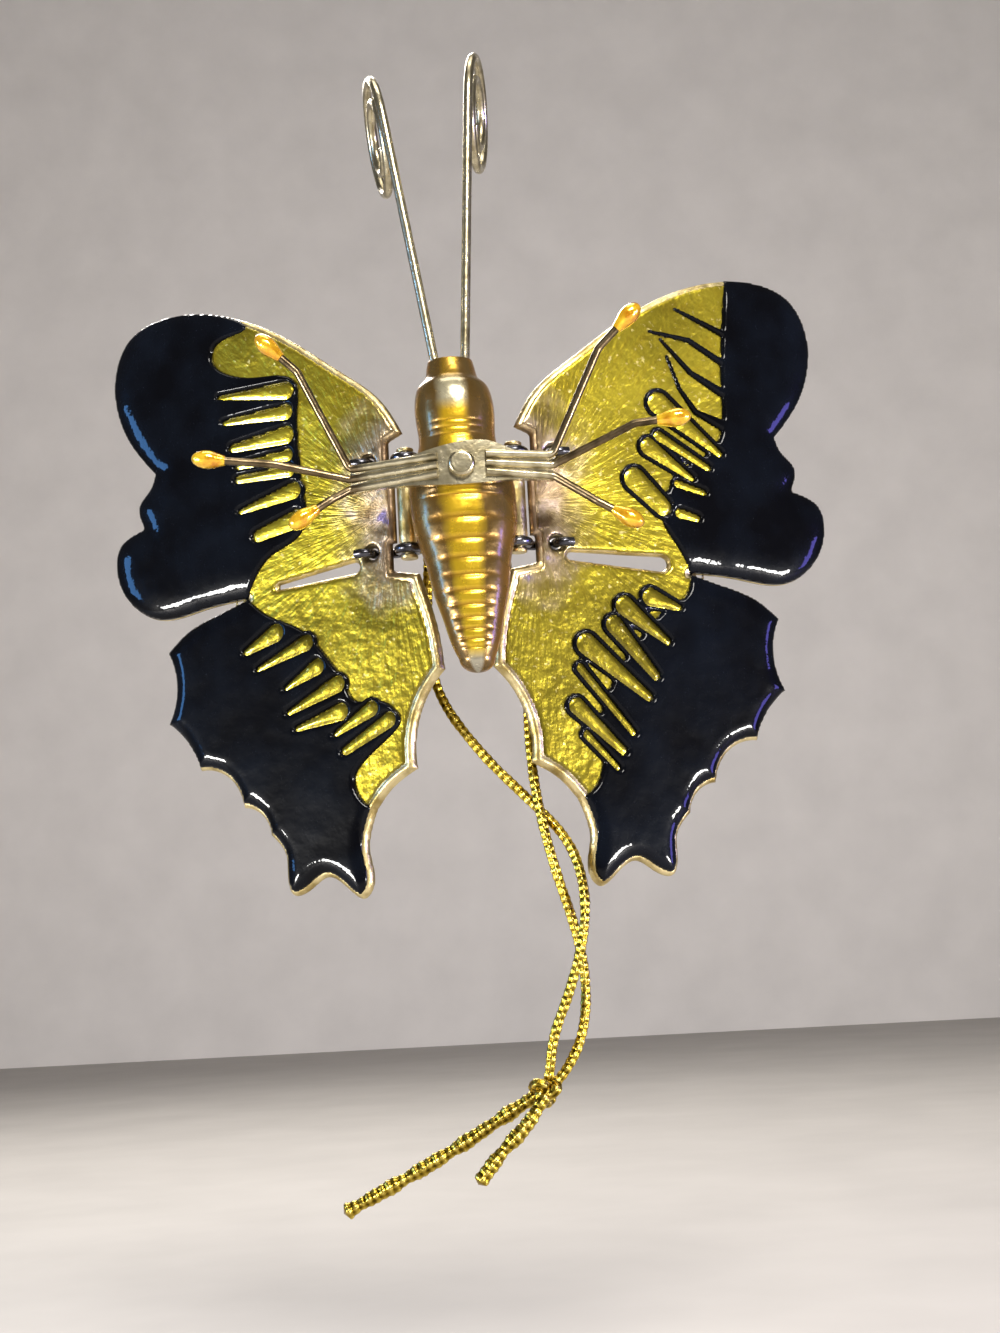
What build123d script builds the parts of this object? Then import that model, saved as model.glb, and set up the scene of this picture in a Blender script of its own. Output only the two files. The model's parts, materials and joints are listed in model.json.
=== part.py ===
from build123d import *
import os
from math import cos, sin, tan, pi, radians, degrees, acos, hypot

os.makedirs("parts", exist_ok=True)

# An enamelled butterfly ornament with hinged wings, seen from its underside.
# Millimetres. X is right, Y is towards the back, Z is towards the head.
# The butterfly is drawn round the middle of its leg strap and every piece is
# moved at the end, so that the hole of the hanging loop is the origin.

# Driving sizes
hinge_x = 6.3            # a hinge rod from the middle plane
hinge_y = 3.0            # a hinge rod behind the middle of the thorax
rest_angle = 22.0        # how far the wings are raised towards the back
wing_thick = 1.2
rod_radius = 0.6
wire_radius = 0.55       # hinge staples
running_gap = 0.08       # staple eye round the rod
part_gap = 0.35          # between pieces that move past each other
body_lean = 2.5          # the body sits a little crooked between its wings
lean_pivot_z = 3.0
gold_thick = 0.25        # translucent enamel
black_thick = 0.75       # thick enamel of the margins
back_black_thick = 0.4
leg_radius = 0.45
antenna_radius = 0.55
cord_radius = 0.575
tail_radius = 0.8

# Hinge
knuckle_radius = 1.15
knuckle_top = 1.5
knuckle_bottom = -7.9
eye_radius = rod_radius + running_gap + wire_radius     # to the middle of the wire
eye_outer = eye_radius + wire_radius
end_gap = 0.12
upper_eye_z = knuckle_top + end_gap + wire_radius
lower_eye_z = knuckle_bottom - end_gap - wire_radius
head_thick = 0.5
head_radius = 1.0
rod_top = upper_eye_z + wire_radius + end_gap
rod_bottom = lower_eye_z - wire_radius - end_gap
staple_reach = 4.6       # rod to the hole that the staple passes
stub_length = 1.7
bend_radius = 0.9

# Body: height, half width, half depth, middle of the depth
thorax_deep = 4.5        # half its depth under the strap
body_profile = [
    (12.6, 2.45, 2.2, 0.3),
    (11.8, 2.65, 2.4, 0.3),
    (10.4, 3.0, 2.8, 0.2),
    (9.7, 3.7, 3.4, 0.1),
    (8.4, 4.25, 4.0, 0.0),
    (6.6, 4.45, 4.2, 0.0),
    (4.6, 4.35, 4.2, 0.0),
    (3.2, 4.3, 4.1, 0.0),
    (0.8, 4.9, 4.4, 0.0),
    (-2.4, 5.9, thorax_deep, 0.0),
    (-4.0, 5.95, thorax_deep, -0.1),
    (-7.6, 5.7, 4.3, -0.4),
    (-11.0, 4.8, 3.7, -0.9),
    (-15.0, 4.1, 3.1, -1.5),
    (-18.0, 3.3, 2.5, -1.9),
    (-21.0, 2.55, 2.1, -2.2),
    (-22.6, 1.9, 1.65, -2.3),
]
ring_first = -4.0
ring_last = -21.6
ring_count = 10
ring_ratio = 0.9         # each ring is this much shorter than the one before
groove_deep = 0.3
tail_ball = 1.55

# Hanging loop on the back of the thorax
loop_z = 4.0
loop_ring = 1.75
loop_wire = 0.45
loop_y = 4.15 + loop_ring - 0.4
loop_at = (0.0, loop_y, loop_z)

# Wing outline, from the rod outwards and up the rod
lead_edge = [(0.2, 5.2), (2.6, 9.3), (8.0, 14.0), (13.5, 18.2), (21.0, 22.6), (27.3, 24.6),
             (32.7, 24.8), (37.4, 23.0), (39.7, 18.6), (39.5, 13.8), (37.6, 9.4), (34.2, 5.2)]
notch_edge = [(34.2, 5.2), (35.0, 3.4), (36.6, 1.6), (36.0, -1.4)]
lobe_edge = [(36.0, -1.4), (39.7, -3.4), (40.2, -6.4), (38.4, -10.4), (34.3, -13.0),
             (28.0, -12.5), (21.4, -11.9)]
hind_top = [(21.4, -11.9), (25.5, -13.2), (30.3, -15.1), (33.0, -17.3)]
scallops = [(33.0, -17.3), (31.9, -21.8), (33.2, -26.0), (30.4, -28.7), (29.0, -31.9),
            (24.8, -33.4), (23.2, -36.8), (20.6, -38.0), (19.6, -40.3)]
tail_edge = [(19.6, -40.3), (17.8, -42.6), (17.6, -45.6), (16.9, -47.4), (15.2, -47.2),
             (12.3, -45.6), (9.6, -47.2), (7.6, -48.3), (6.5, -47.0), (6.8, -43.0), (5.6, -38.3)]
tail_inner = [(5.6, -38.3), (3.4, -35.9), (0.2, -34.0)]
hind_inner = [(-3.8, -23.0), (-3.4, -19.4), (-2.4, -15.2), (-1.2, -11.6)]
root_u = eye_outer + part_gap               # beside the staple eyes
near_u = knuckle_radius + part_gap          # beside the knuckle, between them
# The slot between fore and hind wing, written as a finger is below
slots = {"left": (7.1, -9.9, -6, 10.2, 0.65, 0.25), "right": (6.4, -10.0, -4, 11.5, 0.45, 0.85)}

# The gold field starts this far from the hinge, and leaves a bare rim along the body
bare_rim = 0.7
gold_root = [(6.2, 11.6), (7.4, 4.0), (6.6, -2.0), (5.6, -8.4)]
gold_inner = [gold_root[-1], (1.8, -11.6), *[(u + bare_rim, v) for u, v in hind_inner[2:0:-1]],
              (hind_inner[0][0] + bare_rim + 0.2, hind_inner[0][1] + 0.1), (1.0, -28.6), (1.2, -33.6),
              (6.6, -37.4)]
gold_far = [gold_inner[-1], (12.0, -38.5), (26.0, -16.0), (29.0, 25.0), gold_root[0]]

# The black enamel: its inner limit on the two halves of a wing, and the gold fingers
# that reach into it. The wings were painted by hand and differ. A finger has its inner
# end, its slant, its length and its half widths at the inner and outer ends. A tine is
# a black stroke that reaches from the margin into the gold, written the same way.
line_wide = 0.7          # black line round the inner end of a finger
wing_cleft = lobe_edge[-1]
between_wings = [(28.0, -13.3), (45.0, -16.0)]
fore_limits = {
    "left": [(24.0, 24.4), (20.4, 21.2), (23.4, 20.4), (25.0, 19.2), (24.8, 17.5), (23.4, 16.3),
             (19.3, 15.1), (15.9, 14.8), (13.9, 13.8), (13.4, 12.2), (13.6, 9.7), (13.7, 7.2),
             (13.5, 4.4), (13.3, 0.9), (12.9, -1.7), (13.0, -3.8), (14.8, -5.9), (17.8, -7.2),
             (19.4, -8.6), wing_cleft],
    "right": [(28.9, 26.0), (28.1, 21.9), (27.6, 17.9), (27.2, 14.4), (27.0, 10.5), (26.9, 7.0),
              (25.6, 3.6), (22.6, 1.6), (20.0, -0.4), (18.4, -3.4), (18.2, -6.0), (19.6, -8.4), wing_cleft],
}
hind_limits = {
    "left": [wing_cleft, (18.3, -14.4), (14.9, -16.0), (12.2, -18.3), (10.5, -20.5), (8.6, -23.4),
             (7.6, -25.3), (4.8, -25.7), (2.4, -27.0), (2.1, -28.8), (4.0, -30.8), (6.5, -32.7),
             (7.8, -34.4), (7.4, -36.4), tail_edge[-1]],
    "right": [wing_cleft, (20.6, -14.4), (18.6, -15.8), (16.2, -17.6), (14.0, -20.0), (11.9, -22.4),
              (9.8, -26.0), (8.6, -29.0), (8.6, -32.0), (8.4, -35.0), (7.2, -37.2), tail_edge[-1]],
}
fore_fingers = {
    "left": [(15.0, 12.6, 4, 9.4, 0.95, 0.15), (15.1, 10.0, 0, 8.7, 0.8, 0.2),
             (15.2, 7.2, -4, 7.5, 0.95, 0.4), (15.1, 4.7, -3, 6.9, 0.6, 0.3),
             (14.9, 2.8, -1, 7.2, 0.6, 0.35), (14.5, 0.3, -12, 7.6, 0.9, 0.2),
             (14.2, -3.2, -14, 5.6, 1.0, 0.6)],
    "right": [(18.6, 8.7, -38, 9.7, 1.3, 0.3), (18.3, 4.7, -31, 7.3, 0.5, 0.3),
              (17.0, 3.3, -35, 6.6, 1.0, 0.2), (20.4, -1.1, -17, 3.6, 0.35, 0.2),
              (14.9, -0.7, -44, 4.7, 1.3, 1.0), (20.4, -4.7, -15, 2.4, 0.45, 0.3)],
}
hind_fingers = {
    "left": [(17.7, -16.5, -25, 4.5, 1.0, 0.3), (13.6, -18.1, -21, 7.1, 0.85, 0.15),
             (12.3, -21.1, -27, 4.8, 0.85, 0.15), (9.7, -23.4, -23, 7.1, 0.9, 0.2),
             (9.4, -26.7, -14, 6.0, 0.9, 0.2), (5.4, -26.7, -28, 5.4, 0.8, 0.2),
             (3.2, -28.2, -28, 6.6, 0.8, 0.4)],
    "right": [(16.0, -14.9, -19, 3.7, 1.0, 0.3), (12.6, -16.0, -39, 6.7, 1.1, 0.3),
              (11.1, -18.2, -51, 7.8, 1.0, 0.45), (7.5, -20.5, -40, 9.7, 1.2, 0.4),
              (6.5, -23.3, -51, 9.8, 0.4, 0.25), (5.8, -27.7, -44, 7.6, 0.9, 0.35),
              (6.8, -31.0, -47, 5.4, 0.35, 0.2)],
}
fore_tines = {
    "left": [],
    "right": [(21.6, 20.6, -24, 6.8, 0.15, 0.4), (18.0, 17.6, -9, 5.2, 0.15, 0.3),
              (23.1, 16.8, -31, 4.9, 0.3, 0.4), (19.4, 16.7, -47, 5.3, 0.15, 0.3),
              (23.0, 12.8, -30, 4.7, 0.3, 0.55), (20.1, 14.6, -70, 4.0, 0.15, 0.2),
              (21.4, 10.8, -55, 3.6, 0.2, 0.35), (23.5, 7.8, -23, 4.0, 0.35, 0.7)],
}


def x_mid(z):
    """The middle of the leaning body at a height."""
    return tan(radians(body_lean)) * (lean_pivot_z - z)


def body_at(z):
    """Half width, half depth and depth middle of the body, in straight steps."""
    for upper, lower in zip(body_profile, body_profile[1:]):
        if lower[0] <= z <= upper[0]:
            t = (upper[0] - z) / (upper[0] - lower[0])
            return [a + t * (b - a) for a, b in zip(upper[1:], lower[1:])]
    return body_profile[-1][1:]


def body_section(z, grow=0.0):
    wide, deep, middle = body_at(z)
    return Pos(x_mid(z), middle, z) * Ellipse(wide + grow, deep + grow)


def ring_heights():
    """The grooves between the rings of the abdomen, closer towards the tail."""
    steps = [ring_ratio**k for k in range(ring_count)]
    z = ring_first
    heights = [z]
    for step in steps:
        z -= (ring_first - ring_last) * step / sum(steps)
        heights.append(z)
    return heights


def both_sides(shape):
    return shape + mirror(shape, about=Plane.YZ)


def make_body():
    smooth = [body_section(row[0]) for row in body_profile if row[0] > ring_first]
    grooves = ring_heights()
    ringed = []
    for upper, lower in zip(grooves, grooves[1:]):
        ringed.append(body_section(upper, -groove_deep))
        ringed.append(body_section(upper + 0.3 * (lower - upper)))
        ringed.append(body_section(upper + 0.75 * (lower - upper)))
    end = body_section(body_profile[-1][0], -groove_deep)
    solid = loft([*smooth, *ringed, body_section(grooves[-1], -groove_deep), end], ruled=True)
    tip_z = body_profile[-1][0]
    solid += Pos(x_mid(tip_z), body_at(tip_z)[2], tip_z) * Sphere(tail_ball)
    # A knuckle on each side for the hinge rod, joined to the body by a web.
    length = knuckle_top - knuckle_bottom
    middle = (knuckle_top + knuckle_bottom) / 2
    knuckle = Pos(hinge_x, hinge_y, middle) * Cylinder(knuckle_radius, length)
    web = Pos(hinge_x / 2 + 1.0, hinge_y - 0.2, middle) * Box(hinge_x - 2.0, 1.4, length)
    bore = Pos(hinge_x, hinge_y, middle) * Cylinder(rod_radius, 2 * length)
    solid += both_sides(knuckle + web)
    for z in (upper_eye_z, lower_eye_z):
        tall = 2 * (wire_radius + end_gap)
        pocket = Cylinder(eye_outer + part_gap, tall + 2 * (head_thick + part_gap))
        shift = (head_thick + part_gap) * (1 if z > 0 else -1)
        solid -= both_sides(Pos(hinge_x, hinge_y, z + shift) * pocket)
    return solid - both_sides(bore)


def hinge_rod():
    """A plain rod with a peened head at each end."""
    rod = Pos(0, 0, (rod_top + rod_bottom) / 2) * Cylinder(rod_radius, rod_top - rod_bottom)
    head = Cylinder(head_radius, head_thick)
    head = fillet(head.edges(), 0.15)
    rod += Pos(0, 0, rod_top + head_thick / 2) * head
    rod += Pos(0, 0, rod_bottom - head_thick / 2) * head
    return Pos(hinge_x, hinge_y, 0) * rod


def wing_place():
    """The right wing's plane: x outwards from the rod, y up it, z to the underside."""
    a = radians(rest_angle)
    return Plane(origin=(hinge_x, hinge_y, 0), x_dir=(cos(a), sin(a), 0), z_dir=(sin(a), -cos(a), 0))


def wing_edges():
    arcs = [ThreePointArc(*scallops[k:k + 3]) for k in range(0, len(scallops) - 2, 2)]
    notch_low = lower_eye_z + wire_radius + part_gap
    notch_high = upper_eye_z - wire_radius - part_gap
    root = Polyline(hind_inner[-1], (root_u, -10.9), (root_u, notch_low), (near_u, notch_low),
                    (near_u, notch_high), (root_u, notch_high), (root_u, 4.4), lead_edge[0])
    return [
        Spline(*lead_edge),
        Spline(*notch_edge),
        Spline(*lobe_edge),
        Spline(*hind_top),
        *arcs,
        Spline(*tail_edge),
        Spline(*tail_inner),
        ThreePointArc(tail_inner[-1], (-0.2, -28.6), hind_inner[0]),
        Spline(*hind_inner),
        root,
    ]


def wing_face():
    return make_face(wing_edges())


def staple_holes():
    hole = Circle(wire_radius + running_gap + 0.05)
    return Pos(staple_reach, upper_eye_z) * hole + Pos(staple_reach, lower_eye_z) * hole


def finger_face(row, grow=0.0):
    """A tapered finger with round ends: two circles and the straight lines between them."""
    u, v, slant, length, first, last = row
    first, last = first + grow, last + grow
    rise = (first - last) / length
    reach = (1 - rise**2) ** 0.5
    sides = [(first * rise, first * reach), (length + last * rise, last * reach),
             (length + last * rise, -last * reach), (first * rise, -first * reach)]
    shape = make_face(Polyline(*sides, close=True)) + Circle(first) + Pos(length, 0) * Circle(last)
    return Pos(u, v) * Rot(0, 0, slant) * shape


def slot_face(side):
    return finger_face(slots[side])


def black_face(limit, far, rows, tines=()):
    """The black margin and the lines round its fingers, open where the gold shows."""
    area = make_face([Spline(*limit), Polyline(*far)])
    for row in rows:
        area += finger_face(row, line_wide)
    area &= wing_face()
    for row in rows:
        area -= finger_face(row)
    for row in tines:
        area += finger_face(row)
    return area


def fore_black(side):
    limit = fore_limits[side]
    far = [wing_cleft, *between_wings, (45.0, 28.0), limit[0]]
    return black_face(limit, far, fore_fingers[side], fore_tines[side])


def hind_black(side):
    limit = hind_limits[side]
    far = [limit[-1], (3.0, -52.0), (45.0, -52.0), *reversed(between_wings), wing_cleft]
    return black_face(limit, far, hind_fingers[side])


def gold_face():
    """The gold field: the wing inside a bare root and a bare rim along the body."""
    return make_face([Spline(*gold_root), Spline(*gold_inner), Polyline(*gold_far)]) & wing_face()


def layer(face, low, high):
    return extrude(Pos(0, 0, low) * face, high - low)


def make_wing(side):
    """All the solids of one wing, drawn as a right wing. Both faces have one pattern."""
    half = wing_thick / 2
    solids = {"wing": layer(wing_face() - slot_face(side) - staple_holes(), -half, half)}
    field = gold_face() - slot_face(side) - staple_holes()
    solids["gold_enamel"] = layer(field, half, half + gold_thick)
    solids["back_gold_enamel"] = layer(field, -half - gold_thick, -half)
    for name, area in (("forewing", fore_black(side)), ("hindwing", hind_black(side))):
        area -= slot_face(side)
        under = layer(area, half, half + black_thick)
        top = layer(area, -half - back_black_thick, -half)
        solids[f"{name}_black_enamel"] = under - solids["gold_enamel"]
        solids[f"{name}_back_enamel"] = top - solids["back_gold_enamel"]
    return solids


def staple(z):
    """A wire: an eye round the rod, a shank along the back and a clinched end."""
    under = wing_thick / 2 + gold_thick + wire_radius + 0.05
    eye = CenterArc((0, 0), eye_radius, 0, 270)
    run = FilletPolyline((0, -eye_radius), (staple_reach, -eye_radius), (staple_reach, under),
                         (staple_reach + stub_length, under), radius=bend_radius)
    path = Wire([*eye.edges(), *run.edges()])
    start = Plane(origin=(eye_radius, 0, 0), x_dir=(1, 0, 0), z_dir=(0, 1, 0))
    wire = sweep(start * Circle(wire_radius), path=path)
    upright = Plane(origin=(0, z, 0), x_dir=(1, 0, 0), z_dir=(0, -1, 0))
    return upright * wire


# Leg strap and legs
strap_thick = 0.8
seat_gap = 0.05          # strap over the belly
strap_front = -(thorax_deep + seat_gap + strap_thick)
strap_bow = 29.0
strap_left = -12.2
strap_right = 10.8
strap_top = [(strap_left, 0.3), (-6.0, 0.3), (0.4, 1.7), (4.0, 1.6), (6.4, 0.6), (strap_right, 0.5)]
strap_low = [(strap_right, -3.0), (6.0, -2.9), (1.0, -3.2), (-6.0, -2.9), (strap_left, -3.1)]
rivet_x = 0.6
rivet_z = -0.9
rivet_head = 1.5
rivet_tall = 1.0
rivet_shank = 0.7
rivet_deep = 2.6
leg_proud = 0.3          # a leg's middle line stands this far off the strap
leg_start = 2.7          # the legs start beside the rivet, one above the other
leg_step = 1.0
foot_long = 3.8
foot_wide = 1.05
leg_routes = {
    "left_front": [(strap_left, -0.25), (-17.6, 11.2), (-20.0, 13.5)],
    "left_middle": [(strap_left, -1.4), (-20.5, 0.6), (-27.0, 1.4)],
    "left_rear": [(strap_left, -2.55), (-14.4, -3.9), (-16.6, -5.3)],
    "right_front": [(strap_right, -0.05), (16.6, 11.6), (19.4, 14.3)],
    "right_middle": [(strap_right, -1.25), (20.2, 2.7), (23.6, 2.9)],
    "right_rear": [(strap_right, -2.45), (15.6, -6.0), (18.0, -7.5)],
}


def strap_y(x):
    """The front of the bowed strap."""
    return strap_front + strap_bow - (strap_bow**2 - x**2) ** 0.5


def make_strap():
    ends = (strap_left, strap_right)
    outer = [(x, strap_y(x)) for x in (ends[0], 0, ends[1])]
    inner = [(x, y + strap_thick) for x, y in outer]
    band = make_face([
        ThreePointArc(*outer),
        Line(outer[2], inner[2]),
        ThreePointArc(*reversed(inner)),
        Line(inner[0], outer[0]),
    ])
    band = Pos(0, 0, -6) * extrude(band, 12)
    front = make_face([
        Spline(*strap_top),
        Line(strap_top[-1], strap_low[0]),
        Spline(*strap_low),
        Line(strap_low[-1], strap_top[0]),
    ])
    saddle = extrude(Plane.XZ * front, 12, both=True)
    return band & saddle


def make_rivet():
    """A round head on the strap and a shank into the body."""
    flat = strap_y(rivet_x) + 0.1
    head = Pos(0, 0, rivet_tall / 2) * Cylinder(rivet_head, rivet_tall)
    head = fillet(head.edges().sort_by(Axis.Z)[-1:], 0.45)
    shank = Pos(0, 0, -rivet_deep / 2) * Cylinder(rivet_shank, rivet_deep)
    place = Plane(origin=(rivet_x, flat, rivet_z), x_dir=(1, 0, 0), z_dir=(0, -1, 0))
    return place * (head + shank)


def leg_points(name):
    """The bends of a leg in space: it lies along the strap from the rivet, leaves the
    strap at its end and stands off the wing."""
    side, row = name.split("_")
    flat = leg_routes[name]
    end_y = strap_y(flat[0][0]) - leg_proud
    x = rivet_x + (leg_start if side == "right" else -leg_start)
    z = rivet_z + leg_step * {"front": 1, "middle": 0, "rear": -1}[row]
    first = Vector(x, strap_y(x) - leg_proud, z)
    depths = (end_y, end_y - 1.2, end_y - 1.5)
    return [first, *[Vector(x, y, z) for (x, z), y in zip(flat, depths)]]


def make_leg(name):
    points = leg_points(name)
    path = FilletPolyline(*points, radius=[0.9, 2.0])
    start = Plane(origin=points[0], z_dir=points[1] - points[0])
    return sweep(start * Circle(leg_radius), path=path)


def make_foot(name, leg):
    """A drop of enamel hanging on the end of the leg."""
    points = leg_points(name)
    along = (points[-1] - points[-2]).normalized()
    side = Spline((leg_radius + 0.1, 0), (foot_wide * 0.75, foot_long * 0.22),
                  (foot_wide, foot_long * 0.58), (0, foot_long), tangents=[(0.3, 1), (-1, 0)])
    half = make_face([side, Polyline((0, foot_long), (0, 0), (leg_radius + 0.1, 0))])
    drop = revolve(Plane.XZ * half, Axis.Z)
    place = Plane(origin=points[-1] - along * 0.9, z_dir=along)
    return place * drop - leg


# Antennae
antenna_deep = 1.8
curl_radius = 7.1
curl_pitch = 2.5
curl_turns = 1.9
antennae = {
    "left": {"root": (-2.05, 0.2), "reach": (-6.9, 0.4, 40.6), "tilt": -9.0},
    "right": {"root": (1.35, 0.2), "reach": (3.35, 0.4, 43.0), "tilt": 5.0},
}


def curl_radius_at(turn):
    return curl_radius - curl_pitch * turn / (2 * pi)


def make_antenna(side):
    """A straight stem that ends in a flat spiral, curled to the back."""
    row = antennae[side]
    top = Vector(*row["reach"])
    root = Vector(*row["root"], body_profile[0][0])
    along = (top - root).normalized()
    start = root - along * antenna_deep
    tilt = radians(row["tilt"])
    back = Vector(sin(tilt), cos(tilt), 0)
    back = (back - along * back.dot(along)).normalized()
    middle = top + back * curl_radius
    count = int(curl_turns * 9)
    points = []
    for k in range(count + 1):
        turn = 2 * pi * curl_turns * k / count
        r = curl_radius_at(turn)
        points.append(middle - back * (r * cos(turn)) + along * (r * sin(turn)))
    last = points[-1] - points[-2]
    curl = Spline(*points, tangents=[along, last], tangent_scalars=[1.0, 1.0])
    path = Wire([Line(start, top).edge(), curl.edge()])
    return sweep(Plane(origin=start, z_dir=along) * Circle(antenna_radius), path=path)


# Hanging cord, from the loop down: x, y, z
bight_bend = 4.2
corner = bight_bend * tan(pi / 8)
bight_route = [
    (-bight_bend, loop_y + 0.6, loop_z - 2 * bight_bend + corner),
    (-bight_bend, loop_y + 0.3, loop_z - bight_bend + corner),
    (-corner, loop_y, loop_z),
    (corner, loop_y, loop_z),
    (bight_bend, loop_y + 0.3, loop_z - bight_bend + corner),
    (bight_bend, loop_y + 0.6, loop_z - 2 * bight_bend + corner),
]
left_route = [
    bight_route[0],
    (-4.4, 6.7, -9.5),
    (-5.0, 7.2, -17.5),
    (-4.4, 7.4, -25.0),
    (0.6, 7.3, -32.4),
    (6.1, 7.0, -38.2),
    (10.2, 5.2, -42.8),
    (11.7, 3.2, -48.0),
    (11.4, 2.2, -53.5),
    (9.3, 2.4, -60.0),
    (7.2, 2.7, -64.5),
    (6.5, 3.0, -69.2),
]
right_route = [
    bight_route[-1],
    (4.5, 6.8, -9.5),
    (6.0, 7.4, -17.5),
    (6.3, 7.3, -26.0),
    (6.3, 6.6, -33.5),
    (7.1, 5.0, -40.0),
    (8.5, 4.4, -46.5),
    (10.3, 4.4, -52.5),
    (11.3, 4.4, -58.5),
    (10.7, 4.0, -64.5),
    (8.6, 3.4, -68.4),
    (6.5, 3.0, -70.4),
]
knot_at = (6.0, 3.0, -70.6)
knot_radius = 1.7
long_route = [(6.0, 3.8, -70.5), (1.8, 4.0, -72.9), (-3.8, 3.8, -76.2), (-10.3, 3.7, -79.6),
              (-16.6, 3.4, -82.6)]
short_route = [(6.0, 2.2, -71.0), (3.8, 1.6, -74.2), (0.6, 1.2, -77.0), (-1.6, 1.1, -79.8)]


def bend_radii(points):
    """The radius at each bend that uses most of the shorter run beside it."""
    radii = []
    for a, b, c in zip(points, points[1:], points[2:]):
        before = Vector(*b) - Vector(*a)
        after = Vector(*c) - Vector(*b)
        half_turn = radians(before.get_angle(after)) / 2
        radii.append(0.45 * min(before.length, after.length) / tan(half_turn))
    return radii


def cord_piece(name, points, radius):
    """A round cord along straight runs joined by arcs; its volume is checked."""
    radii = bend_radii(points)
    path = FilletPolyline(*points, radius=radii)
    start = Plane(origin=points[0], z_dir=Vector(*points[1]) - Vector(*points[0]))
    solid = sweep(start * Circle(radius), path=path)
    share = solid.volume / (pi * radius**2 * path.length)
    print(name, "least bend", round(min(radii), 1), "length", round(path.length, 1),
          "volume share", round(share, 4))
    return solid


def make_loop(body):
    """A ring standing on the back of the thorax, its hole from side to side."""
    ring = Plane(origin=loop_at, z_dir=(1, 0, 0)) * Torus(loop_ring, loop_wire)
    return ring - body


def make_knot():
    knot = Sphere(knot_radius)
    return Pos(*knot_at) * scale(knot, (1.15, 0.85, 1.0))


to_loop = Pos(*[-v for v in loop_at])


def save(name, shape):
    solids = shape.solids()
    shape = solids[0] if len(solids) == 1 else Compound(solids)
    export_step(to_loop * shape, f"parts/{name}.step")
    print(name, len(solids), round(sum(s.volume for s in solids), 2))


body = make_body()
strap = make_strap()
rivet = make_rivet()
strap -= rivet
body -= rivet
legs = {name: make_leg(name) for name in leg_routes}
for leg in legs.values():
    strap -= leg
antenna_solids = {side: make_antenna(side) for side in antennae}
for solid in antenna_solids.values():
    body -= solid
save("body", body)
save("leg_strap", strap)
save("leg_rivet", rivet)
for side, solid in antenna_solids.items():
    save(f"{side}_antenna", solid)
for name, leg in legs.items():
    save(f"{name}_leg", leg)
    save(f"{name}_foot", make_foot(name, leg))

rod = hinge_rod()
save("right_hinge_rod", rod)
save("left_hinge_rod", mirror(rod, about=Plane.YZ))
place = wing_place()
for side in ("left", "right"):
    for name, solid in make_wing(side).items():
        solid = place * solid
        save(f"{side}_{name}", mirror(solid, about=Plane.YZ) if side == "left" else solid)
    for name, z in (("upper", upper_eye_z), ("lower", lower_eye_z)):
        solid = place * staple(z)
        save(f"{side}_{name}_staple", mirror(solid, about=Plane.YZ) if side == "left" else solid)

save("hanging_loop", make_loop(body))
knot = make_knot()
save("cord_knot", knot)
save("cord_bight", cord_piece("cord_bight", bight_route, cord_radius))
save("cord_left_strand", cord_piece("cord_left_strand", left_route, cord_radius) - knot)
save("cord_right_strand", cord_piece("cord_right_strand", right_route, cord_radius) - knot)
save("cord_long_tail", cord_piece("cord_long_tail", long_route, tail_radius) - knot)
save("cord_short_tail", cord_piece("cord_short_tail", short_route, tail_radius) - knot)
print("least gap between turns of a curl", round(curl_pitch - 2 * antenna_radius, 2))
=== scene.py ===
# %% [markdown]
# # An enamelled butterfly with hinged wings
#
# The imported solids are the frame. They give the hinges, the legs and the sizes, and
# nothing here moves them. The pieces that need more than a plain solid are worked
# out below with numpy: puffed enamel, a cast wing plate with round edges, a ringed
# enamel coat on the body, tall curled antennae and a braided cord.

# %% Load the frame
import json
import math

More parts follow.
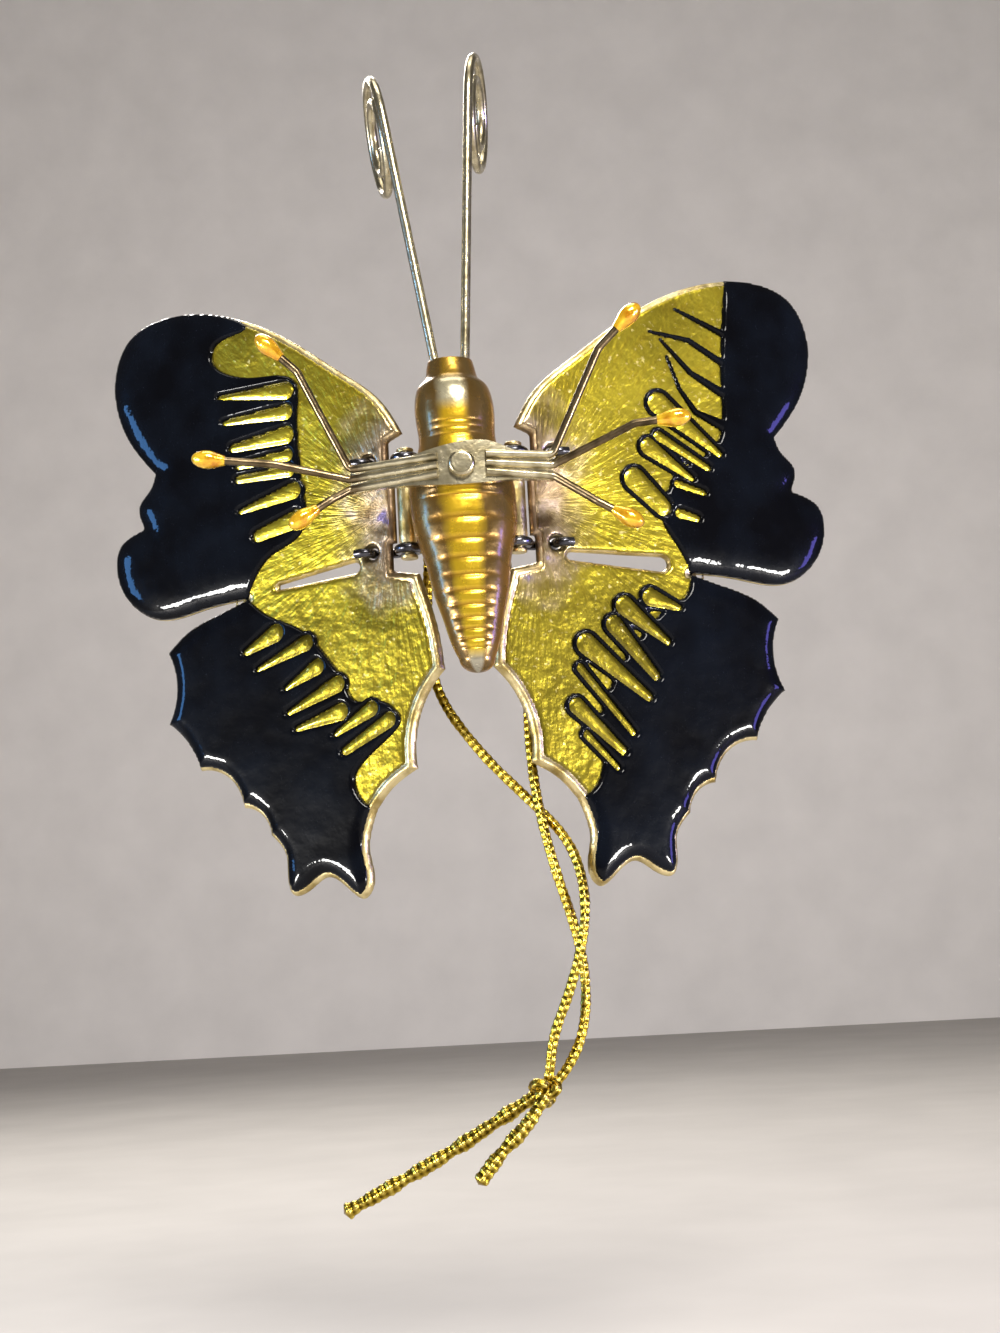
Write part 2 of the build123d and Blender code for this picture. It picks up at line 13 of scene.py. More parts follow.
import bpy
import numpy as np
from mathutils import Matrix
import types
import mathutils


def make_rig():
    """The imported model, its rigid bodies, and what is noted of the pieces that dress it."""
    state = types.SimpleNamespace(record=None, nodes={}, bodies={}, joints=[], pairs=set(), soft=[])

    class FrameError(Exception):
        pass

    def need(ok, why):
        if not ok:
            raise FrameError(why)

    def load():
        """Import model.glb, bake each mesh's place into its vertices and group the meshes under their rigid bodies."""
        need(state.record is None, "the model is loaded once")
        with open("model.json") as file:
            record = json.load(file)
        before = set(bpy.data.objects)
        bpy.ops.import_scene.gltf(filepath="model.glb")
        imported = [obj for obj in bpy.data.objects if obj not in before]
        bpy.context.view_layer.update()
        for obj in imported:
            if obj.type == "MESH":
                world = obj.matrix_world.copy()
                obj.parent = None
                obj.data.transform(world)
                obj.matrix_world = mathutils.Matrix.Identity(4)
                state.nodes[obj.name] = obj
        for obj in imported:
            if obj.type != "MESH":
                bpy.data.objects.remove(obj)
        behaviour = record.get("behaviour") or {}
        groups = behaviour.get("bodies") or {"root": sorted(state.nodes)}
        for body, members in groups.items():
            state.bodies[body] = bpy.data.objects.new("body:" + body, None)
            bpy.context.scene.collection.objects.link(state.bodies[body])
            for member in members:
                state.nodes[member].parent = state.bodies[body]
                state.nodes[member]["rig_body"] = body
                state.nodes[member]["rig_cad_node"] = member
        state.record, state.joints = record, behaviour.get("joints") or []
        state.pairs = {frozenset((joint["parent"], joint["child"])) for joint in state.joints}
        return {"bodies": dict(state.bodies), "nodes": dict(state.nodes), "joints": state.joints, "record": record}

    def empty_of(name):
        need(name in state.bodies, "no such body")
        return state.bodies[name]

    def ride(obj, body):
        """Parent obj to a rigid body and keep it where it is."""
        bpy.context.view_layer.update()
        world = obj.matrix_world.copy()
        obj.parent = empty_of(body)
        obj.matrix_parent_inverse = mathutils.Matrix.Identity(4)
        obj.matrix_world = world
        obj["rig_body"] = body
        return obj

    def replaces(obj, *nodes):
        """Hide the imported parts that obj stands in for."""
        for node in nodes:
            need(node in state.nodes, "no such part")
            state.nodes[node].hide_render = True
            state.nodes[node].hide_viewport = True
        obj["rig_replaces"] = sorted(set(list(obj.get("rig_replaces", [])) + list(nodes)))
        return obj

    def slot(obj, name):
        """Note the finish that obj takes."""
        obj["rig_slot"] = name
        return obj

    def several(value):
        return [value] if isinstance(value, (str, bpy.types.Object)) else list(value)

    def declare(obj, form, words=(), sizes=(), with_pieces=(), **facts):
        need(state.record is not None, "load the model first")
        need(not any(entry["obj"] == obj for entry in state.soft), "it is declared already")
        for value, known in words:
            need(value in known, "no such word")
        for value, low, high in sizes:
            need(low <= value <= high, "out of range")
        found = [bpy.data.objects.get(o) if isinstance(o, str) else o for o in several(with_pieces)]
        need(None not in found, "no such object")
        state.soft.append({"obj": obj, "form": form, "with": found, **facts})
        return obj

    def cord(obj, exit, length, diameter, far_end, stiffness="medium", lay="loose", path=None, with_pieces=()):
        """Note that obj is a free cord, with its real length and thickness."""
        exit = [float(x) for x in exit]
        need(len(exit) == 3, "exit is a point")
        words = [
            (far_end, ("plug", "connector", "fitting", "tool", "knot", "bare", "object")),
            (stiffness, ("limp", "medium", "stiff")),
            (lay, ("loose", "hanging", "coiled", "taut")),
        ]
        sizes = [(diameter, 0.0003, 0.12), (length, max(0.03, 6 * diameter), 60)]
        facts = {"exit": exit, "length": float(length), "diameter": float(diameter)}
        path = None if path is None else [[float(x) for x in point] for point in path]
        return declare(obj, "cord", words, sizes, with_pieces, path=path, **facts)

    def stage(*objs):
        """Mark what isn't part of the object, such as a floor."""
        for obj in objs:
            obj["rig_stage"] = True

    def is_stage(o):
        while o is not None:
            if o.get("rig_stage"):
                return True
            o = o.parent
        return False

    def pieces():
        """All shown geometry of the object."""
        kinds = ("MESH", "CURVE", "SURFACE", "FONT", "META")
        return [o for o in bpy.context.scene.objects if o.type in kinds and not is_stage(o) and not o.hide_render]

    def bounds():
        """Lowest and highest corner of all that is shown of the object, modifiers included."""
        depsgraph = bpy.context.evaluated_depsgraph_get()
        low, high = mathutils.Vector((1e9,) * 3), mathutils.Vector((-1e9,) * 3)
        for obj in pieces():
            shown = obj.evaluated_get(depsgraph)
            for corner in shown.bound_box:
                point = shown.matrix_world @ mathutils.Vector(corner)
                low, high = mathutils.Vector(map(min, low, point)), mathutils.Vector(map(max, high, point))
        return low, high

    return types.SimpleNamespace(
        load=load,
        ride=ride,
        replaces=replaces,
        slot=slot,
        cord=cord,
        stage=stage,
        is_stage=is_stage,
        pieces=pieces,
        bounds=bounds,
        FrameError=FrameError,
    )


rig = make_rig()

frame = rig.load()
cad_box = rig.bounds()
MM = 0.001
SIDES = ("left", "right")
# The solids were drawn round the leg strap, and then moved so that the hanging loop is
# the origin. Sizes below are in millimetres round the leg strap, as they were drawn.
LOOP_AT = np.array([0.0, 5.5, 4.0])


def to_row(points):
    """Millimetres round the leg strap to metres in the row frame."""
    return (np.asarray(points, float) - LOOP_AT) * MM


print("nodes:", len(frame["nodes"]), "bodies:", sorted(frame["bodies"]))

# %% [markdown]
# ## Camera
#
# The photograph was taken from close by, a little below the middle of the ornament,
# with the camera turned a few degrees. The place was found by fitting both wings,
# which mirror each other, to their outlines in the picture.

# %% Camera
PICTURE_HIGH = 1333
FOCAL_PIXELS = 1925.0
SENSOR = 36.0
azimuth, elevation, roll = np.radians([1.56, -8.0, -3.04])
distance = 217.3
target = np.array([3.53, 0.0, -23.25])

back = np.array([math.sin(azimuth) * math.cos(elevation),
                 -math.cos(azimuth) * math.cos(elevation), math.sin(elevation)])
right = np.array([math.cos(azimuth), math.sin(azimuth), 0.0])
up = np.cross(back, right)
axis_x = math.cos(roll) * right + math.sin(roll) * up
axis_y = math.cos(roll) * up - math.sin(roll) * right

lens = bpy.data.cameras.new("photo_camera")
lens.sensor_width = SENSOR
lens.lens = FOCAL_PIXELS / PICTURE_HIGH * SENSOR
lens.clip_start = 0.005
camera = bpy.data.objects.new("photo_camera", lens)
turn = np.eye(4)
turn[:3, 0], turn[:3, 1], turn[:3, 2] = axis_x, axis_y, back
turn[:3, 3] = to_row(target + distance * back)
camera.matrix_world = Matrix(turn.tolist())
bpy.context.collection.objects.link(camera)
bpy.context.scene.camera = camera
print("camera at", np.round(turn[:3, 3], 4), "lens", round(lens.lens, 2))

# %% [markdown]
# ## Putting arrays into meshes
#
# Every new piece is a grid of points worked out as whole arrays. One helper writes the
# points, faces and UV map, and another tells the frame which body carries the piece.

# %% Mesh helpers
def unit(vectors):
    return vectors / np.linalg.norm(vectors, axis=-1, keepdims=True)


def new_piece(name, points, faces, material, uv=None, **values):
    """A smooth mesh object from rows of points in metres and rows of face corners. The
    named values, one to a point, are kept as attributes for the finish to read."""
    mesh = bpy.data.meshes.new(name)
    mesh.from_pydata(points.tolist(), [], [list(face) for face in faces])
    mesh.polygons.foreach_set("use_smooth", np.ones(len(faces), dtype=bool))
    if uv is not None:
        layer = mesh.uv_layers.new(name="UVMap")
        corners = np.zeros(len(mesh.loops), dtype=np.int32)
        mesh.loops.foreach_get("vertex_index", corners)
        layer.data.foreach_set("uv", uv[corners].astype(np.float32).ravel())
    for label, numbers in values.items():
        kept = mesh.attributes.new(label, "FLOAT", "POINT")
        kept.data.foreach_set("value", numbers.astype(np.float32))
    mesh.materials.append(material)
    piece = bpy.data.objects.new(name, mesh)
    bpy.context.collection.objects.link(piece)
    return piece


def carry(piece, body, slot, *nodes):
    """The piece moves with a body, has a finish and stands for these solids."""
    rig.ride(piece, body)
    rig.slot(piece, slot)
    if nodes:
        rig.replaces(piece, *nodes)
    print(piece.name, "faces", len(piece.data.polygons), "on", body)
    return piece


def grid_faces(rows, columns, wrap=False):
    """Four-cornered faces of a grid of points, joined round the columns if it wraps."""
    r = np.arange(rows - 1)[:, None]
    c = np.arange(columns if wrap else columns - 1)[None, :]
    d = (c + 1) % columns
    corners = [r * columns + c, r * columns + d, (r + 1) * columns + d, (r + 1) * columns + c]
    return np.stack([k + 0 * r + 0 * c for k in corners], axis=-1).reshape(-1, 4)


# %% [markdown]
# ## Finishes
#
# Metal and enamel look alike at first: both are smooth and shiny. What tells them apart
# is how the colour comes back. Metal colours its reflections, while enamel has a clear
# coat over a coloured base. Each finish starts from one shader with its plain values
# set on the sockets, and then textures change its colour, its roughness and its bumps.

# %% Finish helpers
def start_finish(name, colour, metallic, roughness, coat=0.0, coat_roughness=0.03):
    """A material with one shader, its even values set on the sockets."""
    material = bpy.data.materials.new(name)
    material.use_nodes = True
    shader = material.node_tree.nodes["Principled BSDF"]
    shader.inputs["Base Color"].default_value = (*colour, 1.0)
    shader.inputs["Metallic"].default_value = metallic
    shader.inputs["Roughness"].default_value = roughness
    shader.inputs["Coat Weight"].default_value = coat
    shader.inputs["Coat Roughness"].default_value = coat_roughness
    return material, shader


def add(tree, kind, **inputs):
    """A node with some of its inputs set."""
    node = tree.nodes.new(kind)
    for name, value in inputs.items():
        node.inputs[name.replace("_", " ")].default_value = value
    return node


def join(value, socket):
    """A link into a socket, or a plain number or colour set on it. A socket knows its
    node tree, so no helper below needs to be told the material."""
    if isinstance(value, bpy.types.NodeSocket):
        socket.id_data.links.new(value, socket)
    else:
        socket.default_value = value if np.isscalar(value) else (*value, 1.0)


def noise(coordinates, scale, detail=3.0, stretch=(1.0, 1.0, 1.0)):
    """Cloudy texture of so many bumps to a metre, pulled out along an axis."""
    mapping = add(coordinates.id_data, "ShaderNodeMapping", Scale=stretch)
    join(coordinates, mapping.inputs["Vector"])
    texture = add(coordinates.id_data, "ShaderNodeTexNoise", Scale=scale, Detail=detail)
    join(mapping.outputs["Vector"], texture.inputs["Vector"])
    return texture.outputs["Fac"]


def place_on(material, kind="Object"):
    return add(material.node_tree, "ShaderNodeTexCoord").outputs[kind]


def axes_of(vector):
    """The X, Y and Z of a vector, as named outputs."""
    node = add(vector.id_data, "ShaderNodeSeparateXYZ")
    join(vector, node.inputs["Vector"])
    return node.outputs


def attribute(material, name):
    """A value that the mesh keeps on its points."""
    node = add(material.node_tree, "ShaderNodeAttribute")
    node.attribute_name = name
    return node.outputs["Fac"]


def ramp(factor, stops):
    """Colours along a factor, as (place, colour) rows."""
    node = add(factor.id_data, "ShaderNodeValToRGB")
    join(factor, node.inputs["Fac"])
    elements = node.color_ramp.elements
    while len(elements) < len(stops):
        elements.new(0.5)
    for element, (place, colour) in zip(elements, stops):
        element.position = place
        element.color = (*colour, 1.0)
    return node.outputs["Color"]


def mix_colours(factor, a, b, blend="MIX"):
    """Two colours mixed by a factor. The first is a socket, the second may be plain."""
    node = add(a.id_data, "ShaderNodeMix")
    node.data_type = "RGBA"
    node.blend_type = blend
    for k, value in ((0, factor), (6, a), (7, b)):
        join(value, node.inputs[k])
    return node.outputs[2]


def math_node(operation, a, b=0.0):
    node = add(a.id_data, "ShaderNodeMath")
    node.operation = operation
    join(a, node.inputs[0])
    join(b, node.inputs[1])
    return node.outputs[0]


def weighted(a, a_share, b, b_share):
    """The sum of a and b, each times its own share."""
    return math_node("ADD", math_node("MULTIPLY", a, a_share), math_node("MULTIPLY", b, b_share))


def map_range(factor, low, high, to_low=0.0, to_high=1.0):
    """Goes from to_low to to_high while the factor goes from low to high."""
    node = add(factor.id_data, "ShaderNodeMapRange", From_Min=low, From_Max=high,
               To_Min=to_low, To_Max=to_high)
    join(factor, node.inputs["Value"])
    return node.outputs["Result"]


def bump(shader, height, depth):
    """Bumps of a height in metres, added to those already on the shader."""
    node = add(height.id_data, "ShaderNodeBump", Strength=1.0, Distance=depth)
    join(height, node.inputs["Height"])
    socket = shader.inputs["Normal"]
    if socket.is_linked:
        join(socket.links[0].from_socket, node.inputs["Normal"])
    join(node.outputs["Normal"], socket)


def paint(shader, colour):
    join(colour, shader.inputs["Base Color"])


def spread(shader, socket, factor, low, high):
    """A socket that goes from low to high with a factor."""
    join(map_range(factor, 0.0, 1.0, low, high), shader.inputs[socket])


# %% [markdown]
# ### Metals
#
# The cast metal is a soft yellow gold with fine pits left by the mould. The strap and
# the antennae are paler, the legs are brown from wear, and the staples are dark steel.

# %% Metals
WEAR_SCALE = 420.0
WEAR_PLACES = (0.32, 0.62)
PALE_DARK, PALE_BRIGHT = (0.25, 0.21, 0.12), (0.68, 0.61, 0.42)
LEG_DARK, LEG_BRIGHT = (0.06, 0.043, 0.023), (0.23, 0.17, 0.095)
STRAP_END = (0.0100, 0.0114)


def worn_colour(wear, dark, bright):
    return ramp(wear, list(zip(WEAR_PLACES, (dark, bright))))


def make_metal(name, dark, bright, roughness, pit, pit_scale):
    """Worn metal: colour and roughness drift together, with fine pits."""
    material, shader = start_finish(name, bright, 1.0, roughness[0])
    where = place_on(material)
    wear = noise(where, WEAR_SCALE, 4.0)
    paint(shader, worn_colour(wear, dark, bright))
    spread(shader, "Roughness", wear, roughness[1], roughness[0])
    bump(shader, noise(where, pit_scale, 5.0), pit)
    return material


def make_cast(name):
    """The cast gold of the body, the loop and the wings."""
    return make_metal(name, (0.30, 0.22, 0.07), (0.74, 0.62, 0.33), (0.28, 0.48), 0.00014, 700.0)


def make_leg_finish():
    """Brass wire that has gone dark, and is still pale where it lies on the strap."""
    material, shader = start_finish("leg_brass", (0.30, 0.22, 0.12), 1.0, 0.28)
    where = place_on(material)
    wear = noise(where, WEAR_SCALE, 4.0)
    dark = worn_colour(wear, LEG_DARK, LEG_BRIGHT)
    pale = worn_colour(wear, PALE_DARK, PALE_BRIGHT)
    from_middle = math_node("ABSOLUTE", axes_of(where)["X"])
    outside = map_range(from_middle, *STRAP_END)
    paint(shader, mix_colours(outside, pale, dark))
    spread(shader, "Roughness", wear, 0.40, 0.20)
    bump(shader, noise(where, 900.0, 5.0), 0.00006)
    return material


def make_plate_metal():
    """The cast metal of the wings, mottled brown beside the hinge."""
    material = make_cast("wing_metal")
    colour = material.node_tree.nodes["Principled BSDF"].inputs["Base Color"]
    brown_mottle = noise(place_on(material), 300.0, 4.0)
    reach = weighted(attribute(material, "from_hinge"), 1.0, brown_mottle, 6.0)
    clean = map_range(reach, 4.5, 8.5)
    brown = ramp(brown_mottle, [(0.36, (0.10, 0.06, 0.035)), (0.62, (0.34, 0.24, 0.15))])
    metal = colour.links[0].from_socket
    join(mix_colours(clean, brown, metal), colour)
    return material


gold_metal = make_cast("cast_gold")
pale_brass = make_metal("pale_brass", PALE_DARK, PALE_BRIGHT, (0.18, 0.38), 0.00008, 700.0)
dark_steel = make_metal("dark_steel_wire", (0.03, 0.03, 0.035), (0.14, 0.14, 0.16), (0.15, 0.35),
                        0.00004, 900.0)
leg_brass = make_leg_finish()
wing_metal = make_plate_metal()
metals = (gold_metal, pale_brass, dark_steel, leg_brass, wing_metal)
print("metals:", *[metal.name for metal in metals])

# %% [markdown]
# ### Enamels
#
# The gold fields are clear yellow enamel over metal that was brushed outwards from the
# wing root, so the strokes follow the wing's own UV map: angle across and distance out.
# The black margin is thick and glossy, and its surface swims a little as fired enamel does.

# %% Enamels
NONE, ALL = (0.0, 0.0, 0.0), (1.0, 1.0, 1.0)
HIND_WING = (-0.021, -0.013)


def make_gold_enamel():
    """Clear yellow over brushed metal, with strokes, drifts of colour and painted glints, and
    painted shade that darkens the hind wing. Near the hinge the yellow was rubbed thin,
    and bare metal shows."""
    material, shader = start_finish("gold_enamel", (0.45, 0.34, 0.03), 0.9, 0.3, 0.55, 0.06)
    where = place_on(material)
    strokes = noise(place_on(material, "UV"), 60.0, 6.0, (3.2, 0.05, 1.0))
    drift = noise(where, 110.0, 3.0)
    glint_spots = noise(where, 1500.0, 2.0)
    field = ramp(drift, [(0.30, (0.25, 0.20, 0.012)), (0.68, (0.52, 0.42, 0.03))])
    lines = ramp(strokes, [(0.34, (0.50, 0.44, 0.24)), (0.54, ALL)])
    colour = mix_colours(0.6, field, lines, "MULTIPLY")
    # Painted glints: tiny bright specks mixed into the colour.
    painted_glints = ramp(glint_spots, [(0.64, NONE), (0.76, ALL)])
    colour = mix_colours(painted_glints, colour, (0.88, 0.74, 0.26))
    # Painted shade: the colour darkens lower down, over the hind wing.
    hind_wing_shade = map_range(axes_of(where)["Z"], *HIND_WING, 0.6, 1.0)
    colour = mix_colours(1.0, colour, hind_wing_shade, "MULTIPLY")
    patchy = noise(where, 260.0, 4.0)
    reach = weighted(attribute(material, "from_hinge"), 1.0, patchy, 7.0)
    bare = map_range(reach, 6.0, 12.0, 0.9, 0.0)
    metal = ramp(noise(where, 380.0, 4.0), [
        (0.34, (0.11, 0.065, 0.04)), (0.48, (0.27, 0.20, 0.13)), (0.60, (0.44, 0.34, 0.27)),
        (0.68, (0.22, 0.18, 0.38))])
    paint(shader, mix_colours(bare, colour, metal))
    spread(shader, "Roughness", strokes, 0.44, 0.22)
    bump(shader, strokes, 0.00008)
    bump(shader, noise(where, 170.0, 2.0), 0.0002)
    bump(shader, noise(where, 900.0, 2.0), 0.0001)
    return material


def make_black_enamel():
    """Deep blue-black glass with a slow swim in its surface."""
    material, shader = start_finish("black_enamel", (0.003, 0.004, 0.007), 0.0, 0.25, 1.0, 0.03)
    shader.inputs["Specular IOR Level"].default_value = 0.02
    shader.inputs["Coat IOR"].default_value = 1.22
    where = place_on(material)
    swim = noise(where, 160.0, 2.0)
    shade = ramp(swim, [(0.35, (0.0012, 0.0013, 0.002)), (0.7, (0.0025, 0.0035, 0.006))])
    paint(shader, shade)
    spread(shader, "Roughness", noise(where, 600.0, 3.0), 0.2, 0.34)
    bump(shader, swim, 0.0002)
    bump(shader, noise(where, 1800.0, 1.0), 0.00001)
    join(shader.inputs["Normal"].links[0].from_socket, shader.inputs["Coat Normal"])
    return material


def make_amber_enamel():
    """Amber glass over the ringed body. The middle is painted bright as if lit from the front,
    the sides are painted in shade over the glass's own smoky brown, and the grooves get
    painted shade. Grey metal shows through at the tip of the tail, and a grey band over
    the top of the thorax is a painted highlight."""
    material, shader = start_finish("amber_enamel", (0.5, 0.27, 0.02), 0.7, 0.22, 0.22, 0.06)
    across = axes_of(place_on(material, "UV"))
    cloud = noise(place_on(material), 420.0, 3.0)
    # Colour down the body: grey metal at the tail tip, amber, a grey band over the top of the thorax that is a painted
    # highlight, then the darker amber collar.
    middle = ramp(across["Y"], [
        (0.055, (0.34, 0.31, 0.23)), (0.085, (0.58, 0.39, 0.018)), (0.77, (0.56, 0.34, 0.012)),
        (0.805, (0.42, 0.38, 0.25)), (0.86, (0.36, 0.32, 0.20)), (0.885, (0.26, 0.15, 0.012))])
    # The middle is painted bright as if lit from the front, and the sides are painted in shade over the glass's own
    # smoky brown.
    side = math_node("ABSOLUTE", across["X"])
    side = weighted(side, 0.78, cloud, 0.22)
    smoky_and_shaded = ramp(side, [(0.50, (0.13, 0.075, 0.018)), (0.70, (0.14, 0.09, 0.03)),
                                  (0.88, (0.27, 0.13, 0.02))])
    edge = ramp(side, [(0.30, NONE), (0.46, ALL)])
    colour = mix_colours(edge, middle, smoky_and_shaded)
    # Painted shade in the grooves between the rings.
    lines = math_node("MULTIPLY", attribute(material, "groove"), 0.7)
    colour = mix_colours(lines, colour, (0.26, 0.12, 0.01))
    paint(shader, colour)
    spread(shader, "Roughness", cloud, 0.17, 0.38)
    bump(shader, cloud, 0.00012)
    return material


def make_drop_enamel():
    """The feet: honey-coloured drops that catch the light."""
    material, shader = start_finish("foot_enamel", (0.85, 0.45, 0.02), 0.6, 0.14, 1.0, 0.02)
    cloud = noise(place_on(material), 700.0, 3.0)
    colour = ramp(cloud, [(0.35, (0.62, 0.24, 0.005)), (0.65, (0.98, 0.62, 0.03))])
    paint(shader, colour)
    bump(shader, cloud, 0.0002)
    return material


gold_enamel = make_gold_enamel()
black_enamel = make_black_enamel()
amber_enamel = make_amber_enamel()
foot_enamel = make_drop_enamel()
print("enamels:", gold_enamel.name, black_enamel.name, amber_enamel.name, foot_enamel.name)

# %% [markdown]
# ## Hanging cord
#
# One thin metallic cord goes through the loop on the back and is tied at the bottom.
# Each half follows a smooth spline whose control points are the route's bends. The
# tube is a braid: its radius swells where a strand lies on top, which is where two sets
# of spiral waves, one turning each way, cross.

# %% Cord routes
BIGHT_BEND = 4.2
corner = BIGHT_BEND * math.tan(math.pi / 8)
bight_half = [
    (BIGHT_BEND, LOOP_AT[1] + 0.6, LOOP_AT[2] - 2 * BIGHT_BEND + corner),
    (BIGHT_BEND, LOOP_AT[1] + 0.3, LOOP_AT[2] - BIGHT_BEND + corner),
    (corner, LOOP_AT[1], LOOP_AT[2]),
]
bight_route = bight_half + [(-x, y, z) for x, y, z in reversed(bight_half)]
left_strand = [
    (-4.4, 6.7, -9.5), (-5.0, 7.2, -17.5), (-4.4, 7.4, -25.0), (0.6, 7.3, -32.4),
    (6.1, 7.0, -38.2), (10.2, 5.2, -42.8), (11.7, 3.2, -48.0), (11.4, 2.2, -53.5),
    (9.3, 2.4, -60.0), (7.2, 2.7, -64.5), (6.5, 3.0, -69.2),
]
right_strand = [
    (4.5, 6.8, -9.5), (6.0, 7.4, -17.5), (6.3, 7.3, -26.0), (6.3, 6.6, -33.5),
    (7.1, 5.0, -40.0), (8.5, 4.4, -46.5), (10.3, 4.4, -52.5), (11.3, 4.4, -58.5),
    (10.7, 4.0, -64.5), (8.6, 3.4, -68.4), (6.5, 3.0, -70.4),
]
long_tail = [(6.0, 3.8, -70.5), (1.8, 4.0, -72.9), (-3.8, 3.8, -76.2), (-10.3, 3.7, -79.6),
             (-16.6, 3.4, -82.6)]
short_tail = [(6.0, 2.2, -71.0), (3.8, 1.6, -74.2), (0.6, 1.2, -77.0), (-1.6, 1.1, -79.8)]
KNOT_AT = np.array([6.0, 3.0, -70.6])


def smooth_line(route):
    """Points of the quadratic spline that has the route's bends as control points."""
    curve = bpy.data.curves.new("route", "CURVE")
    curve.dimensions = "3D"
    spline = curve.splines.new("NURBS")
    spline.points.add(len(route) - 1)
    points = to_row(route)
    spline.points.foreach_set("co", np.column_stack([points, np.ones(len(points))]).ravel())
    spline.order_u = 3
    spline.use_endpoint_u = True
    spline.resolution_u = 24
    holder = bpy.data.objects.new("route", curve)
    line = bpy.data.meshes.new_from_object(holder)
    found = np.zeros(3 * len(line.vertices))
    line.vertices.foreach_get("co", found)
    bpy.data.objects.remove(holder)
    bpy.data.curves.remove(curve)
    bpy.data.meshes.remove(line)
    return found.reshape(-1, 3)


def even_points(line, step):
    """Points at even steps along a line, and how far along each one is."""
    along = np.concatenate([[0.0], np.cumsum(np.linalg.norm(np.diff(line, axis=0), axis=1))])
    places = np.linspace(0.0, along[-1], max(2, int(round(along[-1] / step)) + 1))
    return np.column_stack([np.interp(places, along, line[:, k]) for k in range(3)]), places


# %% Braided tube
CORD_RADIUS = 0.575 * MM
TAIL_RADIUS = 0.8 * MM
BRAID_PITCH = 1.7 * MM
BRAID_WAVES = 3
BRAID_DEEP = 0.13
ROUND = 28
START_POINT, END_POINT = 0.4, 0.5


def close_tube(rings, start, end):
    """Points and faces of a tube of rings, with a middle point that closes each end."""
    rows, count = rings.shape[:2]
    k = np.arange(count)
    first, last, base = rows * count, rows * count + 1, (rows - 1) * count
    start_cap = np.column_stack([np.full(count, first), (k + 1) % count, k])
    end_cap = np.column_stack([np.full(count, last), base + k, base + (k + 1) % count])
    faces = [*grid_faces(rows, count, wrap=True).tolist(), *start_cap.tolist(), *end_cap.tolist()]
    return np.concatenate([rings.reshape(-1, 3), [start, end]]), faces


def braid_tube(name, line, radius, material):
    """A tube round a line. Ring k is line[k] + r (n cos a + b sin a), where n is the
    row's Y axis made square to the line and b is square to both. The radius is
    r (1 + 0.13 cos(3a + p) cos(3a - p)), with p the turn of the braid along the line."""
    centre, along = line
    tangent = unit(np.gradient(centre, axis=0))
    side = unit(np.array([0.0, 1.0, 0.0]) - tangent[:, 1:2] * tangent)
    other = np.cross(tangent, side)
    angle = np.linspace(0.0, 2 * math.pi, ROUND, endpoint=False)[None, :]
    phase = 2 * math.pi * along[:, None] / BRAID_PITCH
    waves = BRAID_WAVES * angle
    swell = 1 + BRAID_DEEP * np.cos(waves + phase) * np.cos(waves - phase)
    r = np.asarray(radius)[:, None] * swell
    rings = (centre[:, None, :] + (r * np.cos(angle))[..., None] * side[:, None, :]
             + (r * np.sin(angle))[..., None] * other[:, None, :])
    points, faces = close_tube(rings, centre[0] - tangent[0] * radius[0] * START_POINT,
                               centre[-1] + tangent[-1] * radius[-1] * END_POINT)
    rows = len(centre)
    uv_angle = np.broadcast_to(angle / (2 * math.pi), (rows, ROUND))
    uv_along = np.broadcast_to(along[:, None] / BRAID_PITCH, (rows, ROUND))
    uv = np.column_stack([uv_angle.ravel(), uv_along.ravel()])
    uv = np.concatenate([uv, [[0.0, 0.0], [0.0, along[-1] / BRAID_PITCH]]])
    return new_piece(name, points, faces, material, uv)


def make_cord_finish():
    """Metallic thread with painted light: a painted highlight on the crowns of the strands,
    painted shade between them, and painted glints.
    """
    material, shader = start_finish("gold_thread", (0.75, 0.52, 0.14), 1.0, 0.3)
    parts = axes_of(place_on(material, "UV"))
    # Painted light: the crowns of the strands are painted bright and the gaps between them dark, with painted glints.
    around = math_node("MULTIPLY", parts["X"], 2 * math.pi * BRAID_WAVES)
    along = math_node("MULTIPLY", parts["Y"], 2 * math.pi)
    one = math_node("COSINE", math_node("ADD", around, along))
    two = math_node("COSINE", math_node("SUBTRACT", around, along))
    both = math_node("MULTIPLY", one, two)
    crown = math_node("ADD", math_node("MULTIPLY", both, 0.5), 0.5)
    glint = noise(place_on(material), 1600.0, 3.0)
    shade = weighted(crown, 0.55, glint, 0.5)
    colour = ramp(shade, [(0.25, (0.07, 0.045, 0.004)), (0.48, (0.30, 0.20, 0.018)),
                                    (0.80, (0.64, 0.50, 0.11))])
    paint(shader, colour)
    spread(shader, "Roughness", glint, 0.16, 0.42)
    bump(shader, glint, 0.00012)
    return material


cord_finish = make_cord_finish()
halves = {
    "cord_left_half": (bight_route + left_strand + long_tail,
                       ("cord_bight", "cord_left_strand", "cord_long_tail")),
    "cord_right_half": (bight_route[:1] + right_strand + short_tail,
                        ("cord_right_strand", "cord_short_tail")),
}
STEP = 0.13 * MM
OPENS_OVER = 2.0 * MM
